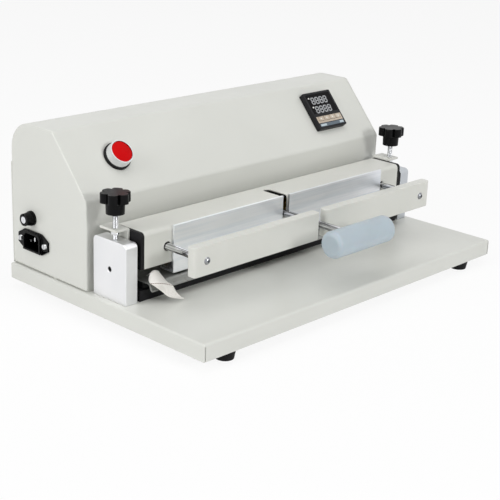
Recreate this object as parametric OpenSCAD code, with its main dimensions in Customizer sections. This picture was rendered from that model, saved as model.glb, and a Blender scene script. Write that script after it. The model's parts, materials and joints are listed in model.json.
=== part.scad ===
// Desk press that folds the hinge groove of hard-cover books.
// Origin: centre of the base's outline, on the surface that the feet stand on.
// +X to the right, -Y towards the user, +Z up, millimetres.

/* [Base] */
// Width of the base pan
base_w = 460; // [420:1:520]
// Depth of the base pan
base_d = 293; // [260:1:340]
// Height of the pan's rim
base_rim = 17.5; // [14:0.5:24]
// Thickness of the bent sheet
sheet = 1.5; // [1:0.1:2]
// Radius of the bends in the sheet
bend_r = 2.5; // [2.2:0.1:4]
// Width of the flange turned in under the rim
return_w = 26; // [25:1:40]
// Width of the slit left at the pan's corners
corner_slit = 0.8; // [0.4:0.1:1.5]
// Height of the rubber feet below the rim
foot_h = 10.5; // [8:0.5:16]
// Radius of a foot at its top
foot_r = 11; // [9:0.5:11.5]
// How much a foot narrows towards the bottom
foot_taper = 2; // [0:0.5:3]
// Distance of a foot's centre from the pan's side
foot_inset_x = 40; // [25:1:80]
// Distance of a foot's centre from the pan's front or back
foot_inset_y = 13; // [12:0.5:14]
// Radius of the foot screws
foot_screw_r = 2; // [1.5:0.25:2.5]

/* [Housing] */
// Gap between the base's side and the housing's side
housing_inset = 3.3; // [1:0.1:4]
// Depth of the housing, front wall to back
housing_d = 120.5; // [116:0.5:150]
// Height of the front wall up to the slope
front_wall_h = 92.9; // [80:0.1:110]
// Horizontal run of the slope
slope_run = 53.2; // [45:0.1:56]
// Rise of the slope
slope_rise = 61; // [53:0.1:64]
// Radius of the rear bend between top and back
rear_bend_r = 30; // [20:1:50]
// Radius of the bends at the slope's lower and upper edge
fold_r = 6; // [3:0.5:10]
// Dark seam under the side panels
seam = 0.8; // [0.4:0.1:1.2]
// Height of the screwed rear panel
rear_panel_h = 109; // [90:1:112]
// Overlap of the rear panel on the cover's back edge
rear_overlap = 10; // [8:1:16]
// Width of the side panels' rear flanges
rear_flange_w = 14; // [10:1:20]
// Radius of the rear panel screws
panel_screw_r = 1.5; // [1:0.25:2]

/* [Push button] */
// Distance of the button's centre from the housing's left side
button_inset = 60.7; // [40:0.1:110]
// Distance of the button's centre above the slope's middle
button_up = -0.1; // [-4:0.1:4]
// Radius of the red cap
cap_r = 11.5; // [11:0.5:14]
// Width of the bezel's rim around the cap
bezel_rim = 2; // [2:0.25:4]
// Height of the bezel above the panel
bezel_h = 12; // [10:0.5:14]
// Thickness of the ring under the bezel
gasket_t = 3; // [1:0.25:4]
// Stroke of the cap
cap_stroke = 3; // [2:0.25:3.5]
// Radius of the threaded barrel behind the panel
barrel_r = 11; // [9:0.5:11]
// Length of the barrel behind the panel
barrel_len = 13; // [11:1:18]
// Radius of the cap's stem
stem_r = 5; // [3:0.5:6]
// Width of the contact block
contact_w = 26; // [22:1:30]
// Depth of the contact block behind the barrel
contact_d = 32; // [20:1:40]

/* [Controller] */
// Distance of the controller's centre from the housing's right side
control_inset = 73.7; // [45:0.1:110]
// Distance of the controller's centre above the slope's middle
control_up = 3.1; // [0:0.1:4]
// Side of the controller's square front
control_w = 48; // [46:0.5:52]
// Height of the front above the panel
control_h = 6.5; // [5:0.5:9]
// Step from the front to the case behind the panel
control_step = 1.6; // [1:0.1:3]
// Depth of the case behind the panel
control_d = 78; // [60:1:85]
// Width of the display window
window_w = 42; // [36:0.5:43]
// Height of the display window
window_h = 25; // [18:0.5:25]
// Distance of the window's centre above the front's centre
window_up = 8.5; // [8:0.5:9]
// Width of a key
key_w = 8; // [5:0.5:9]
// Height of a key
key_h = 5; // [3:0.5:6]
// Spacing of the keys
key_pitch = 10; // [9.8:0.1:10.5]
// Distance of the keys below the front's centre
key_down = 11.5; // [10:0.5:12]
// Stroke of a key
key_stroke = 0.5; // [0.3:0.1:0.8]

/* [Inlet and fuse] */
// Distance of the inlet in front of the base's back edge
inlet_from_back = 37.4; // [32:0.1:50]
// Height of the inlet's centre above the base
inlet_up = 31.4; // [24:0.1:34]
// Spacing of the inlet's screws
inlet_pitch = 40; // [38:0.5:42]
// Radius of the inlet's screws
inlet_screw_r = 1.6; // [1:0.2:2]
// Height of the inlet's flange
inlet_flange_h = 22.5; // [22:0.5:26]
// Thickness of the inlet's flange
inlet_flange_t = 2; // [1.5:0.5:4]
// Height of the socket's rim above the flange
socket_rim = 2.5; // [1:0.5:4]
// Width of the socket's cavity
socket_w = 24.5; // [23:0.5:26]
// Height of the socket's cavity
socket_h = 16.5; // [15:0.5:18]
// Depth of the socket's cavity
socket_d = 17; // [15:0.5:20]
// Wall around the cavity
socket_wall = 2; // [1.5:0.25:3]
// Distance of the fuse holder in front of the base's back edge
fuse_from_back = 34; // [32:0.5:50]
// Height of the fuse holder's centre above the base
fuse_up = 56; // [54:1:70]
// Radius of the fuse holder's flange
fuse_flange_r = 7.75; // [7.5:0.25:10]
// Radius of the fuse holder's cap at the panel
fuse_cap_r = 7.25; // [6.5:0.25:7.5]
// How much the cap narrows towards its end
fuse_cap_taper = 1.25; // [0.5:0.25:2]
// Length of the fuse holder's cap
fuse_cap_len = 7.5; // [6:0.5:15]
// Radius of the fuse holder's barrel
fuse_barrel_r = 6; // [5.5:0.25:6.5]
// Length of the barrel behind the panel
fuse_barrel_len = 30; // [20:1:40]

/* [Pillars and knobs] */
// Gap between the base's side and a pillar
pillar_inset = 7.3; // [3:0.1:10]
// Width of a pillar
pillar_w = 15; // [14:0.5:22]
// Depth of a pillar, front to back
pillar_d = 49; // [36:1:54]
// Height of a pillar
pillar_h = 62; // [52:0.5:63]
// Radius of a pillar's upper corners
pillar_round = 5; // [2:0.5:10]
// Radius of the spindle
spindle_r = 3; // [2.5:0.25:4]
// How deep the spindle goes into the pillar
spindle_depth = 38; // [34:1:45]
// Height of the set screw above the base
set_screw_up = 32; // [29:1:33]
// Radius of the set screw
set_screw_r = 2.5; // [1.5:0.25:3]
// Height of the knob's hub above the pillar
knob_up = 25.5; // [23:0.5:30]
// Radius of the star knob over its lobes
knob_r = 15.3; // [14:0.1:18]
// Height of the star knob's head
knob_head_h = 10.5; // [10:0.5:16]
// Radius of the knob's hub
knob_hub_r = 9.6; // [8:0.1:11]
// Height of the knob's hub
knob_hub_h = 11; // [8:0.5:14]
// Number of lobes on the knob
knob_lobes = 6; // [5:1:9]

/* [Press beam] */
// Gap between the beam and the housing's front wall
beam_gap = 12.5; // [11:0.5:30]
// Depth of the beam, front to back
beam_d = 42.5; // [42:0.5:52]
// Height of the beam's cover
beam_h = 37.2; // [36:0.1:38]
// Height of the cover's lower edge above the base
beam_up = 33.2; // [33:0.1:34]
// Radius of the beam cover's long edges
beam_edge_r = 4.5; // [3:0.5:7]
// Thickness of the beam's end plates
end_plate_t = 4.5; // [3:0.25:6]
// Thickness of the hanging brackets
bracket_t = 2.5; // [2:0.25:4]
// Width of the hanging brackets
bracket_w = 25; // [20:1:30]
// Height of the bracket's flange above the beam
bracket_up = 2.6; // [2.5:0.1:5]
// Length of the bracket's upright flange
bracket_drop = 20; // [16:0.5:24]
// Gap between bracket and pillar
bracket_gap = 1; // [0.5:0.1:2]
// Distance of the spindles behind the beam's front face
spindle_back = 25; // [22:0.5:26]
// Thickness of the stiff bar inside the beam
bar_t = 8; // [6:0.5:8.5]
// Length of a shaft bearing
bearing_len = 12; // [8:0.5:16]
// Width of a guide block
guide_w = 16; // [13:0.5:22]
// Distance of the guides from the shoes' outer ends
guide_inset = 34.5; // [20:0.5:50]
// Radius of the guide pins
guide_pin_r = 4; // [3:0.25:4.5]

/* [Lever] */
// Height of the lever's shaft above the base
shaft_up = 50.5; // [50:0.1:51]
// Distance of the shaft behind the beam's front face
shaft_back = 24.5; // [24:0.1:25]
// Radius of the shaft
shaft_r = 5; // [4:0.25:5.5]
// Radius of the lever's hub on the shaft
hub_r = 7.5; // [7:0.25:8]
// Width of the lever's hub
hub_w = 16; // [12:0.5:20]
// Radius of the lever's rod
rod_r = 4; // [3:0.25:5]
// Distance from the shaft to the grip
lever_len = 128.5; // [110:0.5:132]
// Length of the grip
grip_len = 90; // [70:1:120]
// Radius of the grip
grip_r = 14.3; // [11:0.1:16]
// Rounding of the grip's ends
grip_round = 5; // [2:0.5:8]
// Radius of the crank pins
crank_pin_r = 3; // [2:0.25:3]
// Thickness of a crank disc
crank_t = 5; // [4:0.5:8]

/* [Shoes and press bar] */
// Thickness of a shoe
shoe_t = 2.5; // [2:0.1:2.6]
// Height of a shoe
shoe_h = 49.7; // [42:0.1:52]
// Depth of a shoe's foot
shoe_foot = 19.5; // [16:0.5:22]
// Lift of the shoes when the lever is raised
press_lift = 8; // [5:0.25:8.2]
// Gap between the closed shoes and the lower jaw
press_gap = 2.2; // [2:0.1:3]
// Depth of the press bar
press_bar_d = 12; // [10:0.5:12.5]
// Height of the press bar
press_bar_h = 12; // [10:0.5:12.5]
// Radius of the heater rods
heater_r = 3.25; // [2.5:0.25:4]
// Length of a heater rod
heater_len = 150; // [80:1:155]
// Thickness of a yoke
yoke_w = 8; // [5:0.5:10]

/* [Guard] */
// Distance from the beam's front face to the guard bars
guard_reach = 45; // [35:0.5:60]
// Thickness of a guard bar
guard_t = 11; // [9:0.5:16]
// Height of a guard bar
guard_h = 30; // [24:0.5:36]
// Height of the guard bars' lower edge above the base
guard_up = 36; // [34:0.5:40]
// Rounding of the guard bars' upright edges
guard_round = 4; // [2:0.25:5]
// Radius of the guard rods
guard_rod_r = 3.75; // [3:0.25:5]
// Distance of the guard rods from the beam's ends
guard_rod_inset = 30; // [25:0.5:45]
// How far a guard bar reaches past its rod
guard_overhang = 17; // [10:0.5:25]

/* [Lower jaw] */
// Height of the jaw's face above the base
jaw_up = 19.5; // [16:0.1:19.5]
// Thickness of the jaw's sheet
jaw_t = 1.5; // [1:0.1:2]
// Outer radius of the jaw's nose
jaw_nose_r = 4; // [3:0.1:5]
// Thickness of the strip heater
strip_t = 4; // [3:0.5:6]
// Width of an insulating block
block_w = 24; // [16:1:34]

/* [Clearances] */
// Room around moving pieces
run_gap = 0.5; // [0.4:0.05:0.6]
// Room between fixed pieces that fit into each other
fit_gap = 0.15; // [0.1:0.05:0.25]
// Radial room of a turning or sliding fit
bearing_gap = 0.05; // [0.03:0.01:0.08]

/* [Hidden] */
$fn = 48;

// Cuts reach this far past the faces they open
over = 1;
sides = [-1, 1];

// Levels and walls of base and housing
base_top = foot_h + base_rim;
base_front = -base_d / 2;
base_back = base_d / 2;
housing_x = base_w / 2 - housing_inset;
housing_back = base_back - sheet;
housing_front = housing_back - housing_d;
slope_z = base_top + front_wall_h;
housing_top = slope_z + slope_rise;
slope_a = atan2(slope_rise, slope_run);
button_x = button_inset - housing_x;
control_x = housing_x - control_inset;
cover_rear_z = base_top + rear_panel_h - rear_overlap;
rear_panel_top = base_top + rear_panel_h;

// Chain of widths from the base's side to the beam
pillar_out = base_w / 2 - pillar_inset;
pillar_in = pillar_out - pillar_w;
bracket_out = pillar_in - bracket_gap;
bracket_in = bracket_out - bracket_t;
beam_x = bracket_in - end_plate_t;
spindle_x = (pillar_out + pillar_in) / 2;
rod_x = beam_x - guard_rod_inset;
shoe_rod_gap = 2;
shoe_x = rod_x - guard_rod_r - shoe_rod_gap;
slot_x = rod_r + 2 * run_gap;
guide_x = shoe_x - guide_inset;

// Beam, shaft and spindles
beam_back = housing_front - beam_gap;
beam_front = beam_back - beam_d;
beam_z = base_top + beam_up;
beam_top = beam_z + beam_h;
spindle_y = beam_front + spindle_back;
shaft_y = beam_front + shaft_back;
shaft_z = base_top + shaft_up;
bar_front = beam_back - sheet - bar_t;
pillar_top = base_top + pillar_h;
flange_top = beam_top + bracket_up;
knob_z = pillar_top + knob_up;
nut_h = 3.5;
nut_r = 1.5 * spindle_r;

// Shoes and press bar, closed
jaw_top = base_top + jaw_up;
shoe_z = jaw_top + press_gap;
shoe_front = beam_front - run_gap - shoe_t;
press_bar_front = beam_front + sheet + run_gap;
press_bar_z = shoe_z + shoe_t;
press_bar_top = press_bar_z + press_bar_h;
press_bar_y = press_bar_front + press_bar_d / 2;
guide_foot_h = 2;
guide_foot_rim = 1.5;

// Crank: the pin rises by the lift while the lever turns a quarter
crank_throw = press_lift / sqrt(2);
crank_off = press_lift / 2;
bearing_x = hub_w / 2 + run_gap;
disc_x = bearing_x + bearing_len + run_gap;
yoke_x = disc_x + crank_t + run_gap;
pin_y = shaft_y - crank_off;
pin_z = shaft_z - crank_off;
crank_rim = 0.6;
disc_r = (shaft_r + crank_throw + crank_pin_r) / 2 + crank_rim;
disc_off = (crank_throw + crank_pin_r - shaft_r) / (2 * sqrt(2));
yoke_wall = 4;

// Fuse and inlet
inlet_y = base_back - inlet_from_back;
inlet_z = base_top + inlet_up;
fuse_y = base_back - fuse_from_back;
fuse_z = base_top + fuse_up;

// A flat outline in the Y-Z plane, drawn out along X
module along_x(x0, x1) {
    translate([x0, 0, 0])
        rotate([90, 0, 90])
            linear_extrude(x1 - x0)
                children();
}

// A flat outline in the X-Z plane, drawn out along Y
module along_y(y0, y1) {
    translate([0, y1, 0])
        rotate([90, 0, 0])
            linear_extrude(y1 - y0)
                children();
}

// A round bar along X
module bar_x(x0, x1, r) {
    translate([x0, 0, 0])
        rotate([0, 90, 0])
            cylinder(h = x1 - x0, r = r);
}

// A round bar along Y
module bar_y(y0, y1, r) {
    translate([0, y1, 0])
        rotate([90, 0, 0])
            cylinder(h = y1 - y0, r = r);
}

// A box given by its two corners
module block(low, high) {
    translate(low)
        cube(high - low);
}

// A rectangle with round corners, about its centre
module round_rect(w, h, r) {
    square([w - 2 * r, h], center = true);
    square([w, h - 2 * r], center = true);
    for (x = sides, y = sides)
        translate([x * (w / 2 - r), y * (h / 2 - r)])
            circle(r);
}

// A rectangle from corner to corner with its two upper corners rounded
module arch_rect(low, high, r) {
    translate(low)
        square([high.x - low.x, high.y - low.y - r]);
    translate([low.x + r, low.y])
        square([high.x - low.x - 2 * r, high.y - low.y]);
    for (x = [low.x + r, high.x - r])
        translate([x, high.y - r])
            circle(r);
}

// The same thing on both sides of the machine
module both_sides() {
    children();
    mirror([1, 0, 0])
        children();
}

// Places things on the slope: x along the machine, y up the slope, z out of it
module on_slope(x, up) {
    translate([x, housing_front + slope_run / 2, slope_z + slope_rise / 2])
        rotate([slope_a, 0, 0])
            translate([0, up, 0])
                children();
}

// Places things on the left side panel: y up, z out of it
module on_left_side(y, z) {
    translate([-housing_x, y, z])
        rotate([90, 0, -90])
            children();
}

// A screw with a round head, its head's seat at z = 0
module pan_screw(r, len) {
    head_r = 2 * r;
    head_h = 1.2 * r;
    slot_w = r / 2;
    slot_depth = r / 2;
    translate([0, 0, -len])
        cylinder(h = len, r = r);
    difference() {
        cylinder(h = head_h, r1 = head_r, r2 = 0.8 * head_r);
        translate([-slot_w / 2, -head_r - over, head_h - slot_depth])
            cube([slot_w, 2 * head_r + 2 * over, slot_depth + over]);
    }
}

// A screw with a domed head and a hexagon socket, its head's seat at z = 0
module button_screw(r, len) {
    head_r = 2 * r;
    head_h = 1.2 * r;
    ball_r = (head_r * head_r + head_h * head_h) / (2 * head_h);
    translate([0, 0, -len])
        cylinder(h = len, r = r);
    difference() {
        rotate_extrude()
            intersection() {
                square([head_r, head_h]);
                translate([0, head_h - ball_r])
                    circle(ball_r, $fn = 96);
            }
        translate([0, 0, head_h / 3])
            cylinder(h = head_h, r = 0.8 * r, $fn = 6);
    }
}

// Base pan: bent rims, flanges turned in, slits at the corners
module base_pan() {
    color([0.84, 0.84, 0.82])
        difference() {
            intersection() {
                along_x(-base_w / 2, base_w / 2)
                    arch_rect([base_front, foot_h], [base_back, base_top], bend_r);
                along_y(base_front, base_back)
                    arch_rect([-base_w / 2, foot_h], [base_w / 2, base_top], bend_r);
            }
            block([-base_w / 2 + sheet, base_front + sheet, foot_h + sheet],
                [base_w / 2 - sheet, base_back - sheet, base_top - sheet]);
            block([-base_w / 2 + return_w, base_front + return_w, foot_h - over],
                [base_w / 2 - return_w, base_back - return_w, foot_h + sheet + over]);
            for (x = sides)
                corner_slits(x);
            at_feet()
                cylinder(h = base_rim / 2, r = foot_screw_r + fit_gap);
            at_pillar_bolts()
                translate([0, 0, -2 * sheet])
                    cylinder(h = 4 * sheet, r = pillar_bolt_r + fit_gap);
        }
}

// Slit between the front or back rim and a side rim
module corner_slits(side) {
    slit_x = side * (base_w / 2 - sheet - corner_slit / 2);
    translate([slit_x - corner_slit / 2, base_front - over, foot_h - over])
        cube([corner_slit, base_d + 2 * over, base_rim - bend_r + over]);
}

module at_feet() {
    for (x = sides, y = sides)
        translate([x * (base_w / 2 - foot_inset_x), y * (base_d / 2 - foot_inset_y), foot_h])
            children();
}

foot_recess = 5;
foot_screw_end = 2;

module rubber_feet() {
    color([0.06, 0.06, 0.06])
        at_feet()
            translate([0, 0, -foot_h])
                difference() {
                    cylinder(h = foot_h, r1 = foot_r - foot_taper, r2 = foot_r);
                    translate([0, 0, -over])
                        cylinder(h = foot_h + 2 * over, r = foot_screw_r + fit_gap);
                    translate([0, 0, -over])
                        cylinder(h = foot_recess + over, r = 2 * foot_screw_r + fit_gap);
                }
}

module foot_screws() {
    color([0.7, 0.7, 0.72])
        at_feet()
            translate([0, 0, foot_recess - foot_h])
                mirror([0, 0, 1])
                    pan_screw(foot_screw_r, foot_h - foot_recess + sheet + foot_screw_end);
}

// Centres of the three bends in the housing's outline, and the slope's outward normal
rear_bend = [housing_back - rear_bend_r, housing_top - rear_bend_r];
low_fold = [housing_front + fold_r, slope_z - fold_r * (1 - sin(slope_a)) / cos(slope_a)];
top_fold = [
    housing_front + (fold_r + (slope_rise - fold_r) * cos(slope_a)) / sin(slope_a),
    housing_top - fold_r
];
slope_out = [-sin(slope_a), cos(slope_a)];

// Outline of the housing seen from its side, a distance t inside the outer face
module housing_outline(t, bottom) {
    polygon([
        [housing_front + t, bottom],
        [housing_back - t, bottom],
        rear_bend + [rear_bend_r - t, 0],
        rear_bend + [0, rear_bend_r - t],
        top_fold + [0, fold_r - t],
        top_fold + (fold_r - t) * slope_out,
        low_fold + (fold_r - t) * slope_out,
        low_fold - [fold_r - t, 0]
    ]);
    translate(rear_bend)
        circle(rear_bend_r - t, $fn = 96);
    for (fold = [low_fold, top_fold])
        translate(fold)
            circle(fold_r - t);
}

// Front wall, slope, top and rear bend in one sheet
module housing_cover() {
    color([0.84, 0.84, 0.82])
        difference() {
            along_x(sheet - housing_x, housing_x - sheet)
                housing_outline(0, base_top);
            along_x(-housing_x, housing_x)
                housing_outline(sheet, base_top - over);
            block([-housing_x, housing_back - 2 * sheet, base_top - over],
                [housing_x, housing_back + sheet, cover_rear_z]);
            on_slope(button_x, button_up)
                cylinder(h = 4 * sheet, r = barrel_r + fit_gap, center = true);
            on_slope(control_x, control_up)
                cube([case_w + 2 * fit_gap, case_w + 2 * fit_gap, 4 * sheet], center = true);
            at_rear_screws(1)
                rear_screw_hole();
        }
}

// A side panel with its rear flange, standing on a tab over the seam
seam_tab_w = 6;
seam_tab_y = housing_front + 0.4 * housing_d;

module side_panel() {
    along_x(housing_x - sheet, housing_x) {
        housing_outline(0, base_top + seam);
        translate([seam_tab_y, base_top])
            square([seam_tab_w, seam + over]);
    }
    difference() {
        block([housing_x - rear_flange_w, housing_back - sheet, base_top + seam],
            [housing_x - sheet, housing_back, cover_rear_z - fit_gap]);
        at_rear_screws(0)
            rear_screw_hole();
    }
}

module left_side_panel() {
    color([0.82, 0.82, 0.8])
        difference() {
            mirror([1, 0, 0])
                side_panel();
            on_left_side(inlet_y, inlet_z)
                inlet_cut_outs();
            on_left_side(fuse_y, fuse_z)
                cylinder(h = 4 * sheet, r = fuse_barrel_r + fit_gap, center = true);
        }
}

module right_side_panel() {
    color([0.82, 0.82, 0.8])
        side_panel();
}

// Heights of the side flanges' screws, as shares of the rear panel's height
flange_screw_share = [0.15, 0.6];

// Rear screws: row 0 on the side flanges, row 1 on the cover's edge
module at_rear_screws(row) {
    flange_mid = housing_x - (rear_flange_w + sheet) / 2;
    spots = row == 1
        ? [for (x = [-1, 0, 1]) [x * flange_mid, rear_panel_top - rear_overlap / 2]]
        : [for (x = sides, up = flange_screw_share) [x * flange_mid, base_top + up * rear_panel_h]];
    for (spot = spots)
        translate([spot[0], base_back, spot[1]])
            rotate([-90, 0, 0])
                children();
}

module rear_screw_hole() {
    cylinder(h = 6 * sheet, r = panel_screw_r + fit_gap, center = true);
}

module rear_panel() {
    color([0.82, 0.82, 0.8])
        difference() {
            block([-housing_x, housing_back, base_top], [housing_x, base_back, rear_panel_top]);
            for (row = [0, 1])
                at_rear_screws(row)
                    rear_screw_hole();
        }
}

module rear_panel_screws() {
    color([0.6, 0.6, 0.62])
        for (row = [0, 1])
            at_rear_screws(row)
                pan_screw(panel_screw_r, 3 * sheet);
}

// Push button
gasket_rim = 1;
bezel_r = cap_r + run_gap + bezel_rim;
bezel_draft = 1;
bezel_web = 1.3;
bezel_floor = gasket_t + bezel_web;
cap_bottom = bezel_floor + cap_stroke + run_gap;
cap_sink = 0.6;
cap_side = bezel_h - cap_sink - cap_bottom;
cap_dome = 0.9;
// Radius of the ball that the cap's top is cut from
dome_r = (cap_r * cap_r + cap_dome * cap_dome) / (2 * cap_dome);
nut_t = 4;
nut_wall = 3.5;
contact_h = 1.3 * contact_w;

module button_gasket() {
    color([0.08, 0.08, 0.08])
        on_slope(button_x, button_up)
            difference() {
                cylinder(h = gasket_t, r = bezel_r + gasket_rim);
                translate([0, 0, -over])
                    cylinder(h = gasket_t + 2 * over, r = barrel_r + fit_gap);
            }
}

module button_bezel() {
    color([0.78, 0.79, 0.8])
        on_slope(button_x, button_up)
            difference() {
                union() {
                    translate([0, 0, gasket_t])
                        cylinder(h = bezel_h - gasket_t, r1 = bezel_r, r2 = bezel_r - bezel_draft);
                    translate([0, 0, -sheet - barrel_len])
                        cylinder(h = sheet + barrel_len + gasket_t + over, r = barrel_r);
                }
                translate([0, 0, bezel_floor])
                    cylinder(h = bezel_h, r = cap_r + run_gap);
                translate([0, 0, -sheet - barrel_len - over])
                    cylinder(h = barrel_len + bezel_h, r = stem_r + run_gap);
            }
}

module button_nut() {
    color([0.3, 0.3, 0.32])
        on_slope(button_x, button_up)
            translate([0, 0, -sheet - nut_t])
                difference() {
                    cylinder(h = nut_t, r = barrel_r + nut_wall, $fn = 6);
                    translate([0, 0, -over])
                        cylinder(h = nut_t + 2 * over, r = barrel_r + fit_gap);
                }
}

// Contact block behind the barrel, with a well that the stem runs into
module button_contact_block() {
    block_top = -sheet - barrel_len;
    color([0.15, 0.35, 0.2])
        on_slope(button_x, button_up)
            difference() {
                translate([0, 0, block_top - contact_d / 2])
                    cube([contact_w, contact_h, contact_d], center = true);
                translate([0, 0, block_top - 2 * cap_stroke])
                    cylinder(h = 2 * cap_stroke + over, r = stem_r + run_gap);
                for (y = sides)
                    translate([0, y * contact_h / 2, block_top - contact_d])
                        cube([contact_w / 2, contact_w / 3, contact_d / 2], center = true);
            }
}

module button_cap() {
    color([0.84, 0.08, 0.1])
        on_slope(button_x, button_up) {
            translate([0, 0, cap_bottom])
                rotate_extrude()
                    intersection() {
                        square([cap_r, cap_side + cap_dome]);
                        translate([0, cap_side + cap_dome - dome_r])
                            circle(dome_r, $fn = 192);
                    }
            translate([0, 0, -sheet - barrel_len - run_gap])
                cylinder(h = sheet + barrel_len + run_gap + cap_bottom, r = stem_r);
        }
}

// Temperature controller
case_w = control_w - 2 * control_step;
control_round = 1.5;
window_t = 2;
window_sink = 0.4;
key_rise = 0.9;
key_body = 3;
key_room = key_stroke + run_gap;
key_round = 1;
// Room beside a key
key_side = 0.3;
clamp_t = 7;
clamp_rim = 1;

module at_key(i) {
    on_slope(control_x, control_up)
        translate([(i - 2.5) * key_pitch, -key_down, control_h])
            children();
}

module controller_case() {
    color([0.07, 0.07, 0.08])
        difference() {
            on_slope(control_x, control_up) {
                linear_extrude(control_h)
                    round_rect(control_w, control_w, control_round);
                translate([0, 0, -control_d])
                    linear_extrude(control_d + over)
                        square(case_w, center = true);
            }
            on_slope(control_x, control_up)
                translate([0, window_up, control_h - window_t])
                    linear_extrude(window_t + over)
                        square([window_w + 2 * fit_gap, window_h + 2 * fit_gap], center = true);
            for (i = [1 : 4])
                at_key(i)
                    translate([0, 0, (over - key_body - key_room + key_rise) / 2])
                        cube([key_w + 2 * key_side, key_h + 2 * key_side,
                            key_body + key_room - key_rise + over], center = true);
        }
}

module controller_window() {
    color([0.02, 0.02, 0.03])
        on_slope(control_x, control_up)
            translate([0, window_up, control_h - window_t])
                linear_extrude(window_t - window_sink)
                    square([window_w, window_h], center = true);
}

// Frame pushed over the case from behind to hold it in the panel
module controller_clamp() {
    color([0.1, 0.1, 0.1])
        on_slope(control_x, control_up)
            translate([0, 0, -sheet - clamp_t])
                linear_extrude(clamp_t)
                    difference() {
                        square(control_w + 2 * clamp_rim, center = true);
                        square(case_w + 2 * fit_gap, center = true);
                    }
}

module control_key(i) {
    color([0.82, 0.76, 0.66])
        at_key(i)
            translate([0, 0, key_rise - key_body])
                linear_extrude(key_body)
                    round_rect(key_w, key_h, key_round);
}

module key_1() control_key(1);
module key_2() control_key(2);
module key_3() control_key(3);
module key_4() control_key(4);

// Fuse holder: flange and barrel, and the slotted cap that turns in it
fuse_flange_t = 2.5;
fuse_wall = 1.8;
fuse_stem_r = fuse_barrel_r - fuse_wall;
fuse_stem_len = 18;
fuse_nut_r = fuse_flange_r + 0.5;
fuse_lip_h = 1.2;
fuse_lip_r = fuse_cap_r - 0.6 * fuse_cap_taper;
fuse_slot_w = 1.6;
fuse_slot_d = 1.5;

module fuse_holder() {
    color([0.07, 0.07, 0.07])
        on_left_side(fuse_y, fuse_z)
            difference() {
                union() {
                    cylinder(h = fuse_flange_t, r = fuse_flange_r);
                    translate([0, 0, -sheet - fuse_barrel_len])
                        cylinder(h = sheet + fuse_barrel_len + over, r = fuse_barrel_r);
                    translate([0, 0, -sheet - fuse_flange_t])
                        cylinder(h = fuse_flange_t, r = fuse_nut_r, $fn = 6);
                }
                translate([0, 0, -fuse_stem_len - run_gap])
                    cylinder(h = fuse_stem_len + fuse_flange_t + 2 * over, r = fuse_stem_r + bearing_gap);
            }
}

module fuse_cap() {
    fuse_cap_top = fuse_flange_t + run_gap + fuse_cap_len;
    color([0.09, 0.09, 0.09])
        on_left_side(fuse_y, fuse_z)
            difference() {
                union() {
                    translate([0, 0, fuse_flange_t + run_gap])
                        cylinder(h = fuse_cap_len, r1 = fuse_cap_r, r2 = fuse_cap_r - fuse_cap_taper);
                    translate([0, 0, fuse_cap_top - fuse_lip_h])
                        cylinder(h = fuse_lip_h, r = fuse_lip_r);
                    translate([0, 0, -fuse_stem_len])
                        cylinder(h = fuse_stem_len + fuse_flange_t + over, r = fuse_stem_r);
                }
                translate([-fuse_slot_w / 2, -fuse_cap_r, fuse_cap_top - fuse_slot_d])
                    cube([fuse_slot_w, 2 * fuse_cap_r, fuse_slot_d + over]);
            }
}

// Mains inlet: flange with tapered ears, cavity with two cut corners, three flat pins
socket_out_w = socket_w + 2 * socket_wall;
socket_out_h = socket_h + 2 * socket_wall;
socket_face = inlet_flange_t + socket_rim;
socket_cut = 3.5;
inlet_ear = 5;
pin_len = 12;
pin_tail = 6;
pin_w = 2;
pin_h = 4;
pin_pitch = 7;
pin_step = 2;

module socket_outline(w, h) {
    cut = socket_cut;
    polygon([
        [-w / 2, -h / 2], [w / 2, -h / 2], [w / 2, h / 2 - cut],
        [w / 2 - cut, h / 2], [cut - w / 2, h / 2], [-w / 2, h / 2 - cut]
    ]);
}

module inlet_cut_outs() {
    translate([0, 0, -2 * sheet])
        linear_extrude(4 * sheet)
            socket_outline(socket_out_w + 2 * fit_gap, socket_out_h + 2 * fit_gap);
    at_inlet_screws()
        cylinder(h = 6 * sheet, r = inlet_screw_r + fit_gap, center = true);
}

module at_inlet_screws() {
    for (x = sides)
        translate([x * inlet_pitch / 2, 0, inlet_flange_t])
            children();
}

module inlet_socket() {
    ear_x = inlet_pitch / 2 + inlet_ear;
    mid_x = socket_out_w / 2;
    color([0.06, 0.06, 0.06])
        on_left_side(inlet_y, inlet_z)
            difference() {
                union() {
                    linear_extrude(inlet_flange_t)
                        polygon([
                            for (s = sides) each [
                                [-s * ear_x, s * inlet_ear], [-s * mid_x, s * inlet_flange_h / 2],
                                [s * mid_x, s * inlet_flange_h / 2], [s * ear_x, s * inlet_ear]
                            ]
                        ]);
                    translate([0, 0, socket_face - socket_d - socket_wall])
                        linear_extrude(socket_d + socket_wall)
                            socket_outline(socket_out_w, socket_out_h);
                }
                translate([0, 0, socket_face - socket_d])
                    linear_extrude(socket_d + over)
                        socket_outline(socket_w, socket_h);
                at_inlet_screws()
                    cylinder(h = 6 * sheet, r = inlet_screw_r + fit_gap, center = true);
                at_inlet_pins()
                    translate([0, 0, -over])
                        linear_extrude(2 * socket_wall + over, center = true)
                            square([pin_w + fit_gap, pin_h + fit_gap], center = true);
            }
}

// The earth pin sits higher than the other two
module at_inlet_pins() {
    for (spot = [[-pin_pitch, -pin_step], [0, pin_step], [pin_pitch, -pin_step]])
        translate([spot[0], spot[1], socket_face - socket_d])
            children();
}

module inlet_pins() {
    color([0.8, 0.8, 0.78])
        on_left_side(inlet_y, inlet_z)
            at_inlet_pins()
                translate([0, 0, -socket_wall - pin_tail])
                    linear_extrude(pin_len + socket_wall + pin_tail)
                        square([pin_w, pin_h], center = true);
}

module inlet_screws() {
    color([0.7, 0.7, 0.72])
        on_left_side(inlet_y, inlet_z)
            at_inlet_screws()
                pan_screw(inlet_screw_r, inlet_flange_t + 2 * sheet);
}

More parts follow.
